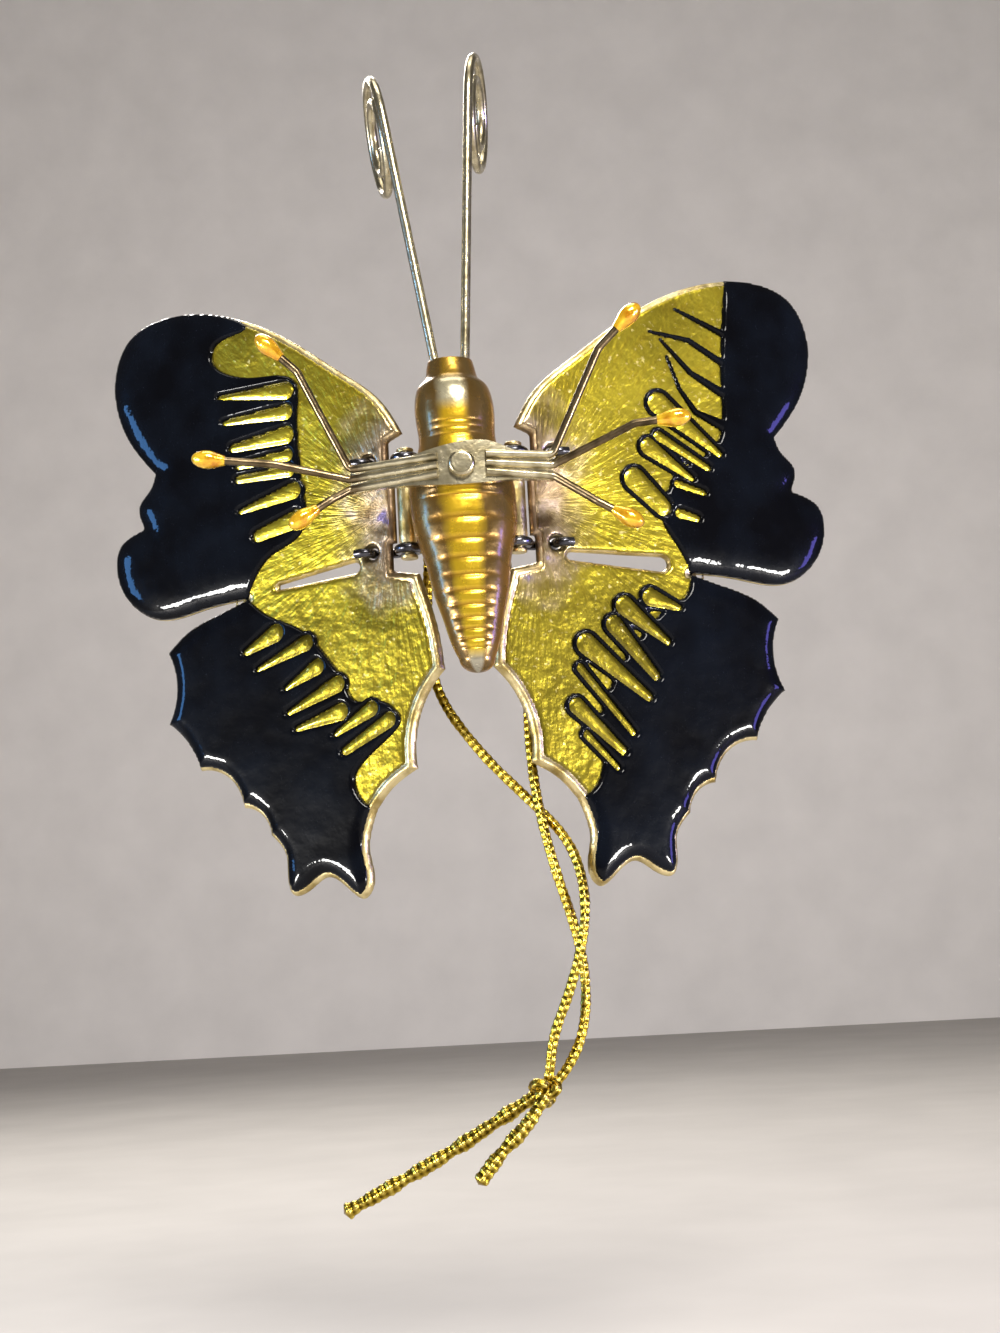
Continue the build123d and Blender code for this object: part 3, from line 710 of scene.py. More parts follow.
# Waves in the thickness: height, length and phase. They are weaker before the knot.
LUMPS = [(0.11, 0.85 * MM, 0.0), (0.08, 0.47 * MM, 1.0)]
TIGHT = 0.25
cord_lines = {}
for name, (route, nodes) in halves.items():
    line, along = even_points(smooth_line(route), STEP)
    knot = np.argmin(np.linalg.norm(line - to_row(KNOT_AT), axis=1))
    thick = np.clip((along - along[knot]) / OPENS_OVER, 0.0, 1.0)
    lumps = sum(high * np.sin(along / long + phase) for high, long, phase in LUMPS)
    radius = CORD_RADIUS + (TAIL_RADIUS - CORD_RADIUS) * thick
    radius = radius * (1 + lumps * (TIGHT + (1 - TIGHT) * thick))
    piece = braid_tube(name, (line, along), radius, cord_finish)
    carry(piece, "thorax", "cord", *nodes)
    cord_lines[name] = (piece, line, along[-1])


# %% Knot
KNOT_RADIUS = 1.25
KNOT_FLAT = 0.62
KNOT_WIDE = 1.1
KNOT_STRAND = 0.62 * MM


def knot_line(radius, flat):
    """An overhand knot: the trefoil line sin t + 2 sin 2t, cos t - 2 cos 2t, -sin 3t,
    shrunk to a radius, pressed flat from front to back and widened a tenth."""
    t = np.linspace(0.0, 2 * math.pi, 200)
    x = (np.sin(t) + 2 * np.sin(2 * t)) / 3
    z = (np.cos(t) - 2 * np.cos(2 * t)) / 3
    y = -np.sin(3 * t)
    return np.column_stack([KNOT_WIDE * x * radius, y * radius * flat, z * radius])


line, along = even_points(to_row(knot_line(KNOT_RADIUS, KNOT_FLAT) + KNOT_AT), STEP)
strand = np.full(len(along), KNOT_STRAND)
knot_piece = braid_tube("cord_knot_turns", (line, along), strand, cord_finish)
carry(knot_piece, "thorax", "cord", "cord_knot")
for name, (piece, line, length) in cord_lines.items():
    far = "bare"
    with_pieces = [knot_piece] if name == "cord_left_half" else []
    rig.cord(piece, exit=line[0], length=length, diameter=2 * CORD_RADIUS, far_end=far,
            stiffness="limp", lay="hanging", path=line, with_pieces=with_pieces)
    print(name, "length", round(length * 1000, 1), "mm")

# %% [markdown]
# ## Wing shape
#
# Both wings are one drawing, mirrored. It lies in the wing's own plane: u runs out from
# the hinge rod, v runs up it, and w is the height above the middle of the plate towards
# the underside, which the photograph shows. The outline is a chain of smooth curves.

# %% Wing outline
HINGE = np.array([6.3, 3.0, 0.0])
REST_ANGLE = math.radians(22.0)
WING_HALF = 0.6
lead_edge = [(0.2, 5.2), (2.6, 9.3), (8.0, 14.0), (13.5, 18.2), (21.0, 22.6), (27.3, 24.6),
             (32.7, 24.8), (37.4, 23.0), (39.7, 18.6), (39.5, 13.8), (37.6, 9.4), (34.2, 5.2)]
notch_edge = [(34.2, 5.2), (35.0, 3.4), (36.6, 1.6), (36.0, -1.4)]
lobe_edge = [(36.0, -1.4), (39.7, -3.4), (40.2, -6.4), (38.4, -10.4), (34.3, -13.0),
             (28.0, -12.5), (21.4, -11.9)]
hind_top = [(21.4, -11.9), (25.5, -13.2), (30.3, -15.1), (33.0, -17.3)]
scallops = [(33.0, -17.3), (31.9, -21.8), (33.2, -26.0), (30.4, -28.7), (29.0, -31.9),
            (24.8, -33.4), (23.2, -36.8), (20.6, -38.0), (19.6, -40.3)]
tail_edge = [(19.6, -40.3), (17.8, -42.6), (17.6, -45.6), (16.9, -47.4), (15.2, -47.2),
             (12.3, -45.6), (9.6, -47.2), (7.6, -48.3), (6.5, -47.0), (6.8, -43.0), (5.6, -38.3)]
tail_inner = [(5.6, -38.3), (3.4, -35.9), (0.2, -34.0)]
body_curve = [(0.2, -34.0), (-0.2, -28.6), (-3.8, -23.0)]
hind_inner = [(-3.8, -23.0), (-3.4, -19.4), (-2.4, -15.2), (-1.2, -11.6)]
root_edge = [(-1.2, -11.6), (2.13, -10.9), (2.13, -7.67), (1.5, -7.67), (1.5, 1.27), (2.13, 1.27),
             (2.13, 4.4), (0.2, 5.2)]


def spline_through(points, spans=10):
    """The natural cubic spline through points, its parameter the chord length: between
    points k and k+1 it is p + b x + m x^2 / 2 + (m' - m) x^3 / (6 h)."""
    p = np.array(points, float)
    t = np.concatenate([[0.0], np.cumsum(np.linalg.norm(np.diff(p, axis=0), axis=1))])
    h = np.diff(t)
    n = len(p)
    slope = np.diff(p, axis=0) / h[:, None]
    matrix = np.eye(n)
    inner = np.arange(1, n - 1)
    matrix[inner, inner - 1] = h[:-1]
    matrix[inner, inner] = 2 * (h[:-1] + h[1:])
    matrix[inner, inner + 1] = h[1:]
    value = np.zeros_like(p)
    value[1:-1] = 6 * np.diff(slope, axis=0)
    m = np.linalg.solve(matrix, value)
    s = np.linspace(0.0, t[-1], spans * (n - 1) + 1)
    k = np.clip(np.searchsorted(t, s, side="right") - 1, 0, n - 2)
    x = (s - t[k])[:, None]
    step = h[k][:, None]
    b = slope[k] - step * (2 * m[k] + m[k + 1]) / 6
    return p[k] + b * x + m[k] * x**2 / 2 + (m[k + 1] - m[k]) * x**3 / (6 * step)


def arc_through(points, count=14):
    """The circle's arc through three points."""
    (ax, ay), (bx, by), (cx, cy) = points
    d = 2 * (ax * (by - cy) + bx * (cy - ay) + cx * (ay - by))
    a2, b2, c2 = ax**2 + ay**2, bx**2 + by**2, cx**2 + cy**2
    middle = np.array([(a2 * (by - cy) + b2 * (cy - ay) + c2 * (ay - by)) / d,
                       (a2 * (cx - bx) + b2 * (ax - cx) + c2 * (bx - ax)) / d])
    rays = np.array(points, float) - middle
    angles = np.unwrap(np.arctan2(rays[:, 1], rays[:, 0]))
    sweep = np.linspace(angles[0], angles[2], count)
    return middle + np.hypot(*rays[0]) * np.column_stack([np.cos(sweep), np.sin(sweep)])


pieces = [spline_through(edge) for edge in (lead_edge, notch_edge, lobe_edge, hind_top)]
pieces += [arc_through(scallops[k:k + 3]) for k in range(0, len(scallops) - 2, 2)]
pieces += [spline_through(tail_edge), spline_through(tail_inner), arc_through(body_curve),
           spline_through(hind_inner), np.array(root_edge, float)]
wing_outline = np.concatenate([part[:-1] for part in pieces])
print("wing outline points:", len(wing_outline))


# %% Distance fields
TINY = 1e-12
BLOCK = 3000


def outline_distance(q, outline):
    """Distance from points to a closed outline, negative inside. The nearest place on
    each side gives the distance, and the number of sides that a ray to the right
    crosses gives the sign."""
    start = outline
    end = np.roll(outline, -1, axis=0)
    edge = end - start
    length2 = np.maximum((edge**2).sum(axis=1), TINY)
    result = np.empty(len(q))
    for block in np.array_split(np.arange(len(q)), max(1, len(q) // BLOCK)):
        px, py = q[block, 0][:, None], q[block, 1][:, None]
        wx, wy = px - start[:, 0], py - start[:, 1]
        t = np.clip((wx * edge[:, 0] + wy * edge[:, 1]) / length2, 0.0, 1.0)
        far2 = (wx - t * edge[:, 0])**2 + (wy - t * edge[:, 1])**2
        spans = (start[:, 1] > py) != (end[:, 1] > py)
        rise = np.where(np.abs(edge[:, 1]) < TINY, TINY, edge[:, 1])
        crosses = spans & (wx < wy * edge[:, 0] / rise)
        sign = np.where(crosses.sum(axis=1) % 2 == 1, -1.0, 1.0)
        result[block] = sign * np.sqrt(far2.min(axis=1))
    return result


def capsule_distance(q, start, end, first, last):
    """Distance to a finger: a line from start to end whose half width goes evenly from
    first to last, so its ends are round."""
    a, b = np.array(start, float), np.array(end, float)
    line = b - a
    t = np.clip(((q - a) @ line) / (line @ line), 0.0, 1.0)
    return np.linalg.norm(q - a - t[:, None] * line, axis=1) - (first + (last - first) * t)


def wing_distance(q):
    return outline_distance(q, wing_outline)


# %% [markdown]
# ### Fingers
#
# Where the gold meets the black margin, gold fingers reach into the black, and a
# black line loops round the inner end of each one. The two wings were painted by hand
# and differ, so each has its own rows. A row has the inner end, the slant in degrees,
# the length, and the half widths at the inner and outer ends.

# %% Finger rows
LINE_WIDE = 0.7
WING_CLEFT = lobe_edge[-1]
fore_limits = {
    "left": [(24.0, 24.4), (20.4, 21.2), (23.4, 20.4), (25.0, 19.2), (24.8, 17.5), (23.4, 16.3),
             (19.3, 15.1), (15.9, 14.8), (13.9, 13.8), (13.4, 12.2), (13.6, 9.7), (13.7, 7.2),
             (13.5, 4.4), (13.3, 0.9), (12.9, -1.7), (13.0, -3.8), (14.8, -5.9), (17.8, -7.2),
             (19.4, -8.6), WING_CLEFT],
    "right": [(28.9, 26.0), (28.1, 21.9), (27.6, 17.9), (27.2, 14.4), (27.0, 10.5), (26.9, 7.0),
              (25.6, 3.6), (22.6, 1.6), (20.0, -0.4), (18.4, -3.4), (18.2, -6.0), (19.6, -8.4),
              WING_CLEFT],
}
hind_limits = {
    "left": [WING_CLEFT, (18.3, -14.4), (14.9, -16.0), (12.2, -18.3), (10.5, -20.5), (8.6, -23.4),
             (7.6, -25.3), (4.8, -25.7), (2.4, -27.0), (2.1, -28.8), (4.0, -30.8), (6.5, -32.7),
             (7.8, -34.4), (7.4, -36.4), tail_edge[-1]],
    "right": [WING_CLEFT, (20.6, -14.4), (18.6, -15.8), (16.2, -17.6), (14.0, -20.0), (11.9, -22.4),
              (9.8, -26.0), (8.6, -29.0), (8.6, -32.0), (8.4, -35.0), (7.2, -37.2), tail_edge[-1]],
}
fore_fingers = {
    "left": [(15.0, 12.6, 4, 9.4, 0.95, 0.15), (15.1, 10.0, 0, 8.7, 0.8, 0.2),
             (15.2, 7.2, -4, 7.5, 0.95, 0.4), (15.1, 4.7, -3, 6.9, 0.6, 0.3),
             (14.9, 2.8, -1, 7.2, 0.6, 0.35), (14.5, 0.3, -12, 7.6, 0.9, 0.2),
             (14.2, -3.2, -14, 5.6, 1.0, 0.6)],
    "right": [(18.6, 8.7, -38, 9.7, 1.3, 0.3), (18.3, 4.7, -31, 7.3, 0.5, 0.3),
              (17.0, 3.3, -35, 6.6, 1.0, 0.2), (20.4, -1.1, -17, 3.6, 0.35, 0.2),
              (14.9, -0.7, -44, 4.7, 1.3, 1.0), (20.4, -4.7, -15, 2.4, 0.45, 0.3)],
}
hind_fingers = {
    "left": [(17.7, -16.5, -25, 4.5, 1.0, 0.3), (13.6, -18.1, -21, 7.1, 0.85, 0.15),
             (12.3, -21.1, -27, 4.8, 0.85, 0.15), (9.7, -23.4, -23, 7.1, 0.9, 0.2),
             (9.4, -26.7, -14, 6.0, 0.9, 0.2), (5.4, -26.7, -28, 5.4, 0.8, 0.2),
             (3.2, -28.2, -28, 6.6, 0.8, 0.4)],
    "right": [(16.0, -14.9, -19, 3.7, 1.0, 0.3), (12.6, -16.0, -39, 6.7, 1.1, 0.3),
              (11.1, -18.2, -51, 7.8, 1.0, 0.45), (7.5, -20.5, -40, 9.7, 1.2, 0.4),
              (6.5, -23.3, -51, 9.8, 0.4, 0.25), (5.8, -27.7, -44, 7.6, 0.9, 0.35),
              (6.8, -31.0, -47, 5.4, 0.35, 0.2)],
}
fore_tines = {
    "left": [],
    "right": [(21.6, 20.6, -24, 6.8, 0.15, 0.4), (18.0, 17.6, -9, 5.2, 0.15, 0.3),
              (23.1, 16.8, -31, 4.9, 0.3, 0.4), (19.4, 16.7, -47, 5.3, 0.15, 0.3),
              (23.0, 12.8, -30, 4.7, 0.3, 0.55), (20.1, 14.6, -70, 4.0, 0.15, 0.2),
              (21.4, 10.8, -55, 3.6, 0.2, 0.35), (23.5, 7.8, -23, 4.0, 0.35, 0.7)],
}
between_wings = [(28.0, -13.3), (45.0, -16.0)]
fore_far = [*between_wings, (45.0, 28.0)]
hind_far = [(3.0, -52.0), (45.0, -52.0), *between_wings[::-1]]


def finger_ends(row):
    u, v, slant, length, first, last = row
    turn = math.radians(slant)
    return (u, v), (u + length * math.cos(turn), v + length * math.sin(turn)), first, last


def fingers_distance(q, rows, grow=0.0):
    """Distance to the nearest finger of a set, each one grown by a margin."""
    return np.min([capsule_distance(q, *finger_ends(row)) for row in rows], axis=0) - grow


slots = {"left": (7.1, -9.9, -6, 10.2, 0.65, 0.25), "right": (6.4, -10.0, -4, 11.5, 0.45, 0.85)}
HOLE_RADIUS = 0.68
HINGE_LINE = ((1.5, 3.0), (1.5, -8.0), 0.0, 0.0)
HOLES = [(4.6, 2.17), (4.6, -8.57)]


def holes_distance(q, side, grow=0.0):
    """Distance to the slot between the wings and to the two staple holes."""
    slot = capsule_distance(q, *finger_ends(slots[side]))
    holes = [np.hypot(q[:, 0] - u, q[:, 1] - v) - HOLE_RADIUS for u, v in HOLES]
    return np.minimum(slot, np.min(holes, axis=0)) - grow


# %% [markdown]
# ### From a field to a closed piece
#
# Each layer of the wing is a thin closed shell over part of the wing's plane. A field
# that is negative inside says which part. A fine grid covers the wing, the cells that
# touch the part are kept, and corners that lie outside are pulled on to its edge, down
# the field's slope. An upper and a lower surface share the points of the edge, so the
# shell is closed.

# %% Shell maker
GRID = 0.25
NEAR, FAR = 1.0, 9.0
WING_ROOT = np.array([2.0, -4.0])
grid_u = np.arange(-5.0, 42.0, GRID)
grid_v = np.arange(-49.5, 26.5, GRID)
grid_points = np.stack(np.meshgrid(grid_u, grid_v, indexing="ij"), axis=-1).reshape(-1, 2)
near_wing = wing_distance(grid_points) < NEAR


def pull_to_edge(q, field, rounds=3):
    """Steps each point to where the field is zero, along its slope."""
    small = 1e-3
    for _ in range(rounds):
        value = field(q)
        steps = [field(q + step) - value for step in ([small, 0.0], [0.0, small])]
        slope = np.column_stack(steps) / small
        size = np.maximum((slope**2).sum(axis=1), 0.25)
        q = q - (value / size)[:, None] * slope
    return q


def wing_points(uvw, side):
    """The wing's own u, v, w to the row frame: u along the wing, raised by the rest
    angle about the rod, v up the rod, and w to the underside. The left wing mirrors."""
    u, v, w = uvw.T
    x = HINGE[0] + u * math.cos(REST_ANGLE) + w * math.sin(REST_ANGLE)
    y = HINGE[1] + u * math.sin(REST_ANGLE) - w * math.cos(REST_ANGLE)
    return to_row(np.column_stack([x if side == "right" else -x, y, v]))


def wing_shell(name, side, field, upper, lower, material):
    """A closed shell over the part of the wing where field is negative. upper and lower
    give w for points and their depth inside the edge. The UV map is the angle round the
    wing root and the distance from it, in turns and centimetres."""
    value = np.full(len(grid_points), FAR)
    value[near_wing] = field(grid_points[near_wing])
    cells = grid_faces(len(grid_u), len(grid_v))
    cells = cells[(value[cells] < 0).any(axis=1)]
    used, cells = np.unique(cells, return_inverse=True)
    cells = cells.reshape(-1, 4)
    q = grid_points[used].copy()
    edge = value[used] >= 0
    q[edge] = pull_to_edge(q[edge], field)
    depth = np.where(edge, 0.0, np.maximum(-value[used], 0.0))
    w_low = lower(q, depth)
    w_high = np.where(edge, w_low, upper(q, depth))
    count = len(q)
    inner = np.flatnonzero(~edge)
    under = np.arange(count)
    under[inner] = count + np.arange(len(inner))
    uvw = np.concatenate([np.column_stack([q, w_high]), np.column_stack([q, w_low])[inner]])
    faces = np.concatenate([cells, under[cells][:, ::-1]])
    if side == "left":
        faces = faces[:, ::-1]
    ray = uvw[:, :2] - WING_ROOT
    polar = np.column_stack([np.arctan2(ray[:, 1], ray[:, 0]) / (2 * math.pi) + 0.5,
                             np.hypot(*ray.T) / 10.0])
    from_hinge = capsule_distance(uvw[:, :2], *HINGE_LINE)
    return new_piece(name, wing_points(uvw, side), faces, material, polar, from_hinge=from_hinge)


def dome(depth, reach):
    """A quarter circle: nothing at the edge, one at a depth of reach and beyond."""
    return np.sqrt(np.clip(1 - (1 - np.clip(depth / reach, 0.0, 1.0))**2, 0.0, 1.0))


# %% [markdown]
# ### The layers of a wing
#
# The cast plate has a full round edge. Gold enamel fills its field and stands up a
# little inside each finger. The black enamel is the thickest: it rolls over the outer
# edge in a wide curve and drops steeply at the fingers.

# %% Wing layers
BLACK_HIGH = {1: 0.75, -1: 0.45}
BLACK_SEAT, BLACK_ROUND = 0.3, 0.45
ROLL = {"forewing": 4.2, "hindwing": 2.3}
BLACK_RIM, BLACK_HOLE, TINE_GROWS = 0.05, 0.2, 0.12
TAIL_RIM, TAIL_TOP, TAIL_FADE = 0.4, -29.0, 4.0
BARE_RIM, BODY_RIM, GOLD_HOLE = 0.55, 0.5, 0.25
BODY_TOP, BODY_REACH, BODY_FADE = -11.0, 9.5, 2.0
BEAD_HIGH, BEAD_AT, BEAD_WIDE, BEAD_ROUND = 0.25, 0.6, 0.35, 0.3
GOLD_SEAT, GOLD_LOW, GOLD_HIGH, GOLD_ROUND = 0.35, 0.05, 0.2, 0.5
PILLOW_HIGH, PILLOW_ROUND = 0.2, 0.6


def plate_field(side):
    def field(q):
        return np.maximum(wing_distance(q), -holes_distance(q, side))
    return field


def body_side(q):
    """One along the hind wing's edge beside the body, where the casting is bare, and
    fading to nothing in the rest of the wing."""
    below = np.clip((BODY_TOP - q[:, 1]) / BODY_FADE, 0.0, 1.0)
    return below * np.clip((BODY_REACH - q[:, 0]) / BODY_FADE, 0.0, 1.0)


def plate_under(q, depth):
    """A full round edge, with a low bead along the edge beside the body."""
    bead = BEAD_HIGH * np.exp(-((depth - BEAD_AT) / BEAD_WIDE)**2)
    return WING_HALF * dome(depth, WING_HALF) + bead * body_side(q) * dome(depth, BEAD_ROUND)


def plate_top(q, depth):
    return -WING_HALF * dome(depth, WING_HALF)


def gold_field(side):
    def field(q):
        inside = wing_distance(q) + BARE_RIM + BODY_RIM * body_side(q)
        return np.maximum(inside, -holes_distance(q, side, GOLD_HOLE))
    return field


def gold_height(rows):
    """A thin layer with round edges that stands up inside each finger."""
    def height(q, depth):
        pillow = PILLOW_HIGH * dome(-fingers_distance(q, rows), PILLOW_ROUND)
        return WING_HALF - GOLD_LOW + GOLD_HIGH * dome(depth, GOLD_ROUND) + pillow
    return height


def black_field(side, limit, far, rows, tines=()):
    """The black margin and the lines round the fingers, with the fingers left open."""
    margin = np.concatenate([spline_through(limit), far])

    def field(q):
        area = np.minimum(outline_distance(q, margin), fingers_distance(q, rows, LINE_WIDE))
        area = np.maximum(area, -fingers_distance(q, rows))
        if tines:
            area = np.minimum(area, fingers_distance(q, tines, TINE_GROWS))
        rim = BLACK_RIM + TAIL_RIM * np.clip((TAIL_TOP - q[:, 1]) / TAIL_FADE, 0.0, 1.0)
        area = np.maximum(area, wing_distance(q) + rim)
        return np.maximum(area, -holes_distance(q, side, BLACK_HOLE))
    return field


def black_height(face, roll):
    """The lower of two quarter rounds: a wide one from the wing's edge and a steep one
    from the layer's own edge."""
    rise = WING_HALF + BLACK_HIGH[face] - BLACK_SEAT

    def height(q, depth):
        outer = dome(-wing_distance(q), roll)
        return BLACK_SEAT + rise * np.minimum(outer, dome(depth, BLACK_ROUND))
    return height


def wing_layer(name, side, face, field, height, seat, material):
    """A layer on the underside, face 1, or on the top side, face -1."""
    def low(q, depth):
        return np.full(len(q), face * seat)

    def high(q, depth):
        return face * np.where(depth > 0, height(q, depth), seat)

    upper, lower = (high, low) if face > 0 else (low, high)
    return wing_shell(name, side, field, upper, lower, material)


def make_wing(side):
    body = f"{side}_wing"
    plate = wing_shell(f"{side}_wing_plate", side, plate_field(side), plate_under, plate_top,
                       wing_metal)
    carry(plate, body, "gold_metal", f"{side}_wing")
    fore = black_field(side, fore_limits[side], fore_far, fore_fingers[side], fore_tines[side])
    hind = black_field(side, hind_limits[side], hind_far, hind_fingers[side])
    rows = [*fore_fingers[side], *hind_fingers[side]]
    for face, prefix, node in ((1, "", "black"), (-1, "back_", "back")):
        gold = wing_layer(f"{side}_{prefix}gold_field", side, face, gold_field(side),
                          gold_height(rows), GOLD_SEAT, gold_enamel)
        carry(gold, body, "gold_enamel", f"{side}_{prefix}gold_enamel")
        for half, field in (("forewing", fore), ("hindwing", hind)):
            height = black_height(face, ROLL[half])
            margin = wing_layer(f"{side}_{half}_{prefix}margin", side, face, field, height,
                                BLACK_SEAT, black_enamel)
            carry(margin, body, "black_enamel", f"{side}_{half}_{node}_enamel")


for side in SIDES:
    make_wing(side)

# %% [markdown]
# ## Body
#
# The metal body is under a thick coat of amber enamel that fills the grooves between
# its rings only part of the way. The coat is a surface round the body's middle line,
# with the half width and half depth as smooth curves down its length.

# %% Enamel coat
BODY_LEAN = math.radians(2.5)
LEAN_PIVOT = 3.0
body_profile = [
    (12.6, 2.45, 2.2, 0.3), (11.8, 2.65, 2.4, 0.3), (10.4, 3.0, 2.8, 0.2), (9.7, 3.7, 3.4, 0.1),
    (8.4, 4.25, 4.0, 0.0), (6.6, 4.45, 4.2, 0.0), (4.6, 4.35, 4.2, 0.0), (3.2, 4.3, 4.1, 0.0),
    (0.8, 4.9, 4.4, 0.0), (-2.4, 5.9, 4.5, 0.0), (-4.0, 5.95, 4.5, -0.1), (-7.6, 5.7, 4.3, -0.4),
    (-11.0, 4.8, 3.7, -0.9), (-15.0, 4.1, 3.1, -1.5), (-18.0, 3.3, 2.5, -1.9),
    (-21.0, 2.55, 2.1, -2.2), (-22.6, 1.9, 1.65, -2.3),
]
RING_FIRST, RING_LAST, RING_COUNT, RING_RATIO = -4.0, -21.6, 10, 0.9
COAT = 0.12
COAT_ROWS, COAT_ROUND, COAT_SPANS = 320, 96, 16
TAIL_BALL, TAIL_ROWS = 1.55, 14
HEAD_DOME, HEAD_ROWS = 0.35, 10
RING_DEEP, NECK_SHARE = 0.18, 0.5
NECK_LINES, NECK_WIDE = np.array([4.6, 3.8, 3.0]), 0.16


def ring_wave(z):
    """Height of the rings, from -1 in a groove to 0 on a crown. Ring k ends where the
    sum of a geometric row of lengths does, so k comes from a logarithm."""
    share = np.clip((RING_FIRST - z) / (RING_FIRST - RING_LAST), 0.0, 1.0)
    k = np.log(1 - share * (1 - RING_RATIO**RING_COUNT)) / math.log(RING_RATIO)
    inside = (z < RING_FIRST) & (z > RING_LAST)
    return np.where(inside, -np.abs(np.cos(math.pi * k))**6, 0.0)


def neck_wave(z):
    """Three thin lines round the neck of the thorax, from -1 in a line to 0 beside it."""
    return -np.exp(-((z[:, None] - NECK_LINES) / NECK_WIDE)**2).sum(axis=1)


def make_coat():
    """Rows down the body: x is the leaning middle plus the half width times cos a, and y
    the depth's middle plus the half depth times sin a. The rings are cut in front and
    behind and fade to the sides. Both ends close to a point."""
    profile = np.array(body_profile)
    order = np.argsort(profile[:, 0])
    smooth = spline_through(profile[order], COAT_SPANS)
    z = np.linspace(profile[-1, 0], profile[0, 0], COAT_ROWS)
    wide, deep, middle = (np.interp(z, smooth[:, 0], smooth[:, k]) for k in (1, 2, 3))
    wide, deep = wide + COAT, deep + COAT
    cap = np.linspace(0.0, 1.0, TAIL_ROWS)[:-1]
    tail_z = z[0] - TAIL_BALL * np.cos(cap * math.pi / 2)
    tail = np.sin(cap * math.pi / 2)
    head = np.cos(np.linspace(0.0, 1.0, HEAD_ROWS)[1:] * math.pi / 2)
    head_z = z[-1] + HEAD_DOME * (1 - head)
    z_all = np.concatenate([tail_z, z, head_z])
    wide_all = np.concatenate([tail * wide[0], wide, head * wide[-1]])
    deep_all = np.concatenate([tail * deep[0], deep, head * deep[-1]])
    middle_all = np.pad(middle, (len(cap), len(head)), mode="edge")
    angle = np.linspace(0.0, 2 * math.pi, COAT_ROUND, endpoint=False)
    mid_x = math.tan(BODY_LEAN) * (LEAN_PIVOT - z_all)
    rings = ring_wave(z_all) + NECK_SHARE * neck_wave(z_all)
    relief = RING_DEEP * rings[:, None] * np.abs(np.sin(angle))**6
    x = mid_x[:, None] + (wide_all[:, None] + relief) * np.cos(angle)
    y = middle_all[:, None] + (deep_all[:, None] + relief) * np.sin(angle)
    points = np.stack([x, y, np.broadcast_to(z_all[:, None], x.shape)], axis=-1).reshape(-1, 3)
    across = np.broadcast_to(np.cos(angle), x.shape)
    uv = np.column_stack([across.ravel(), (points[:, 2] + 25.0) / 40.0])
    faces = grid_faces(len(z_all), COAT_ROUND, wrap=True)
    # How deep each point lies in a groove; the amber finish paints shade there.
    groove = np.broadcast_to(-rings[:, None] * np.abs(np.sin(angle))**4, x.shape)
    return new_piece("body_enamel", to_row(points), faces, amber_enamel, uv, groove=groove.ravel())


coat = make_coat()
carry(coat, "thorax", "amber_enamel")

# %% [markdown]
# ## Antennae
#
# Two straight wires stand on the head and end in flat spirals that curl to the back. A
# spiral lies in one plane, so its tube needs no turning frame: the normal of that plane
# serves all the way along.

# %% Antennae
WIRE_RADIUS = 0.55
WIRE_ROUND = 20
WIRE_DEEP = 1.8
CURL_PITCH = 2.5
CURL_TURNS = 1.9
STEM_ROWS, CURL_ROWS, WIRE_POINT = 60, 240, 0.3
# Root, top, tilt of the spiral's plane in degrees, and first radius of the spiral.
antennae = {"left": ((-2.15, 0.2, 12.6), (-6.9, 0.4, 43.3), -9.0, 7.8),
            "right": ((1.35, 0.2, 12.6), (3.35, 0.4, 45.4), 5.0, 7.65)}


def make_antenna(side):
    """A stem from its root to its top, then a spiral of radius r - p t / (2 pi) about a
    middle that lies r behind the top. Ring k of the tube is c + w (n cos a + m sin a),
    with n the normal of the spiral's plane and m square to n and to the wire."""
    root, top, tilt, radius = antennae[side]
    along = unit(np.array(top) - root)
    tilt = math.radians(tilt)
    back = np.array([math.sin(tilt), math.cos(tilt), 0.0])
    back = unit(back - along * (back @ along))
    stem = np.linspace(root - along * WIRE_DEEP, top, STEM_ROWS)[:-1]
    turn = np.linspace(0.0, 2 * math.pi * CURL_TURNS, CURL_ROWS)[:, None]
    r = radius - CURL_PITCH * turn / (2 * math.pi)
    curl = top + back * (radius - r * np.cos(turn)) + along * (r * np.sin(turn))
    centre = np.concatenate([stem, curl])
    wire = unit(np.gradient(centre, axis=0))
    normal = np.cross(along, back)
    other = np.cross(wire, normal)
    angle = np.linspace(0.0, 2 * math.pi, WIRE_ROUND, endpoint=False)[None, :, None]
    around = np.cos(angle) * normal + np.sin(angle) * other[:, None, :]
    rings = centre[:, None, :] + WIRE_RADIUS * around
    points, faces = close_tube(rings, centre[0] - WIRE_POINT * wire[0],
                               centre[-1] + WIRE_POINT * wire[-1])
    piece = new_piece(f"{side}_antenna_wire", to_row(points), faces, pale_brass)
    carry(piece, "thorax", "pale_brass", f"{side}_antenna")


for side in SIDES:
    make_antenna(side)

# %% [markdown]
# ## Solids that stay
#
# The body under its coat, the loop, the strap, the rivet, the legs, the feet, the rods
# and the staples have the right shapes already, so they keep their meshes and get a
# finish.

# %% Finishes of the solids
def give_finish(material, *names):
    for name in names:
        for row in frame["nodes"][name].material_slots:
            row.material = material
    print(material.name, "on", len(names), "solids")


legs = [f"{side}_{row}" for side in SIDES for row in ("front", "middle", "rear")]
give_finish(gold_metal, "body", "hanging_loop", "left_hinge_rod", "right_hinge_rod")
give_finish(pale_brass, "leg_strap", "leg_rivet")
give_finish(leg_brass, *[f"{leg}_leg" for leg in legs])
give_finish(foot_enamel, *[f"{leg}_foot" for leg in legs])
give_finish(dark_steel, *[f"{side}_{end}_staple" for side in SIDES for end in ("upper", "lower")])

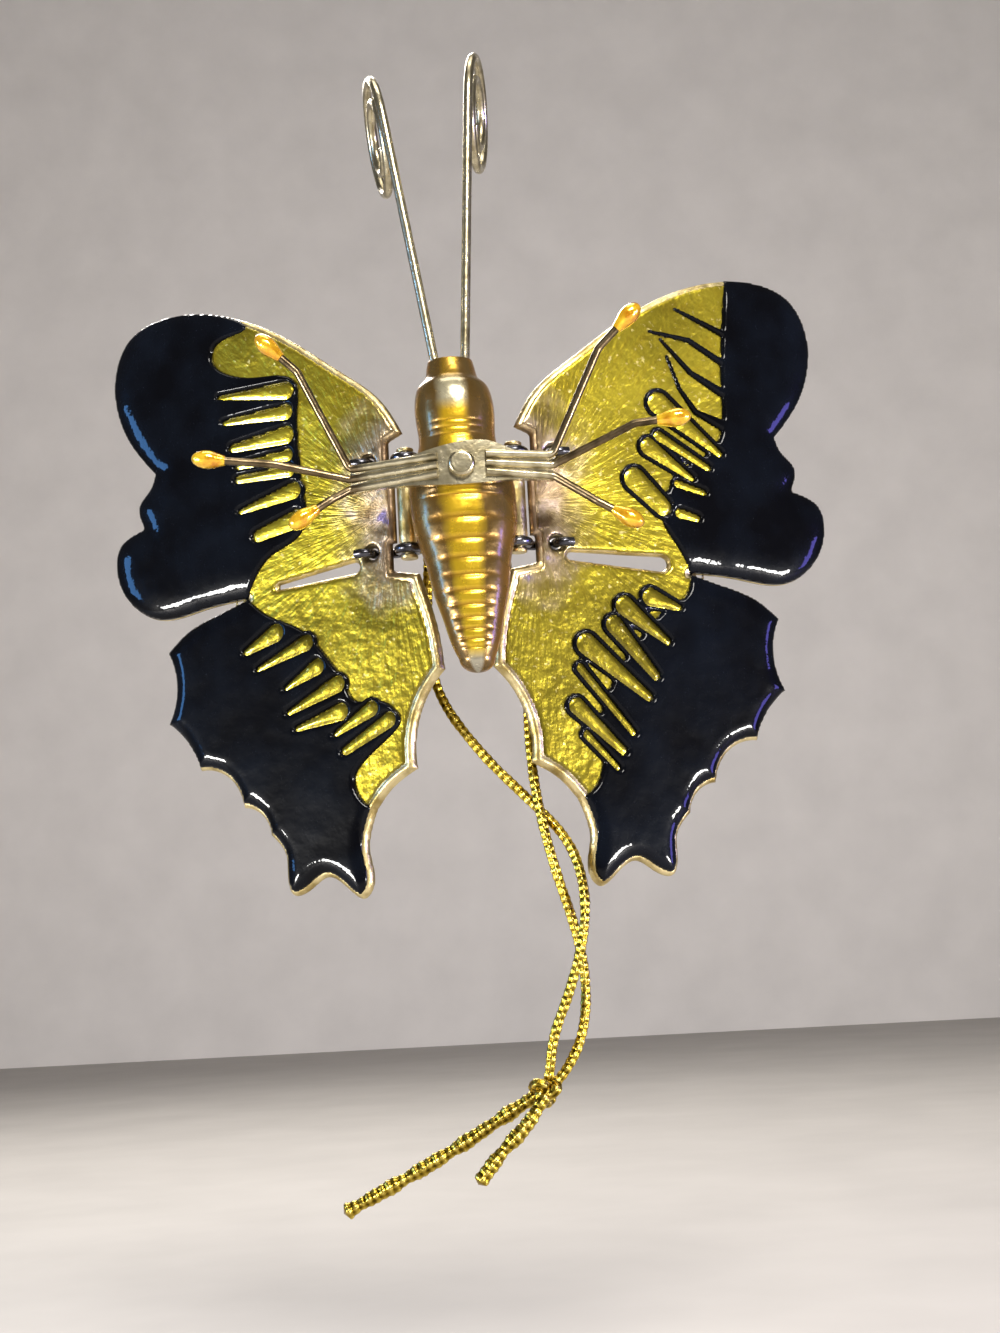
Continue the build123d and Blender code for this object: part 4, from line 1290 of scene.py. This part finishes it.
# %% [markdown]
# ## Stage and light
#
# A pale floor lies a little below the end of the cord, and a far wall stands behind.
# Polished pieces show what is round them more than their own colour, so the lights are
# soft: a key high in front, one above, one behind, two narrow ones low to each side that
# draw the white streaks on the lower lobes, and cool ones at the sides that edge the
# black in blue.

# %% Stage and light
def flat_sheet(name, corners, material):
    piece = new_piece(name, np.array(corners, float), np.array([[0, 1, 2, 3]]), material)
    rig.stage(piece)
    return piece


def warm_grey(tone):
    return tone, 0.95 * tone, 0.90 * tone


def make_stage_finish(name, tone):
    """A plain pale paint with a slow drift in its tone."""
    material, shader = start_finish(name, warm_grey(tone), 0.0, 0.7)
    grain = noise(place_on(material), 30.0, 4.0)
    paint(shader, ramp(grain, [(0.3, warm_grey(0.95 * tone)), (0.7, warm_grey(1.05 * tone))]))
    return material


FLOOR = cad_box[0][2] - 0.03
WIDE, WALL = 2.0, 0.9
near = [(-WIDE, -WIDE, FLOOR), (WIDE, -WIDE, FLOOR)]
foot = [(WIDE, WALL, FLOOR), (-WIDE, WALL, FLOOR)]
head = [(WIDE, WALL, WIDE), (-WIDE, WALL, WIDE)]
flat_sheet("floor", near + foot, make_stage_finish("pale_floor", 0.45))
flat_sheet("wall", foot[::-1] + head, make_stage_finish("pale_wall", 0.80))
AIM = np.array([0.0, 0.0, -0.02])


def area_light(name, place, size, watts, colour):
    """A soft light that faces the ornament; size is its width and height in metres."""
    light = bpy.data.lights.new(name, "AREA")
    light.shape = "RECTANGLE"
    light.size, light.size_y = size
    light.energy = watts
    light.color = colour
    holder = bpy.data.objects.new(name, light)
    z = unit(np.array(place) - AIM)
    x = unit(np.cross([0.0, 0.0, 1.0], z))
    matrix = np.eye(4)
    matrix[:3, 0], matrix[:3, 1], matrix[:3, 2], matrix[:3, 3] = x, np.cross(z, x), z, place
    holder.matrix_world = Matrix(matrix.tolist())
    bpy.context.collection.objects.link(holder)


WARM, WHITE = (1.0, 0.96, 0.90), (1.0, 0.98, 0.95)
STREAK, STRIP = (0.09, 0.035), (0.06, 0.12)
area_light("key", (0.10, -0.44, 0.34), (0.22, 0.16), 5.0, WARM)
area_light("streak_left", (-0.360, -0.230, -0.080), STREAK, 1.7, WHITE)
area_light("streak_right", (0.36, -0.243, -0.085), STREAK, 1.7, WHITE)
area_light("cool_left", (-0.40, -0.11, 0.03), STRIP, 0.45, (0.14, 0.42, 1.0))
area_light("cool_right", (0.40, -0.11, -0.03), STRIP, 0.55, (0.24, 0.20, 1.0))
area_light("top", (0.0, 0.02, 0.50), (0.30, 0.20), 1.0, (1.0, 0.95, 0.88))
area_light("back_fill", (-0.12, 0.42, 0.34), (0.24, 0.18), 3.0, WARM)
world = bpy.data.worlds.new("soft_room")
world.use_nodes = True
room = world.node_tree.nodes["Background"]
room.inputs["Color"].default_value = (0.80, 0.76, 0.72, 1.0)
room.inputs["Strength"].default_value = 0.14
bpy.context.scene.world = world
bpy.context.scene.view_settings.view_transform = "Standard"
print("lights:", len(bpy.data.lights))

# %% [markdown]
# ## Finish
#
# The size of the dressed model is written beside the size of the solids, so that the
# two can be compared.

# %% Sizes and table
with open("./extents.json", "w") as handle:
    json.dump({"cad": np.array(cad_box).tolist(), "visual": np.array(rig.bounds()).tolist()}, handle)
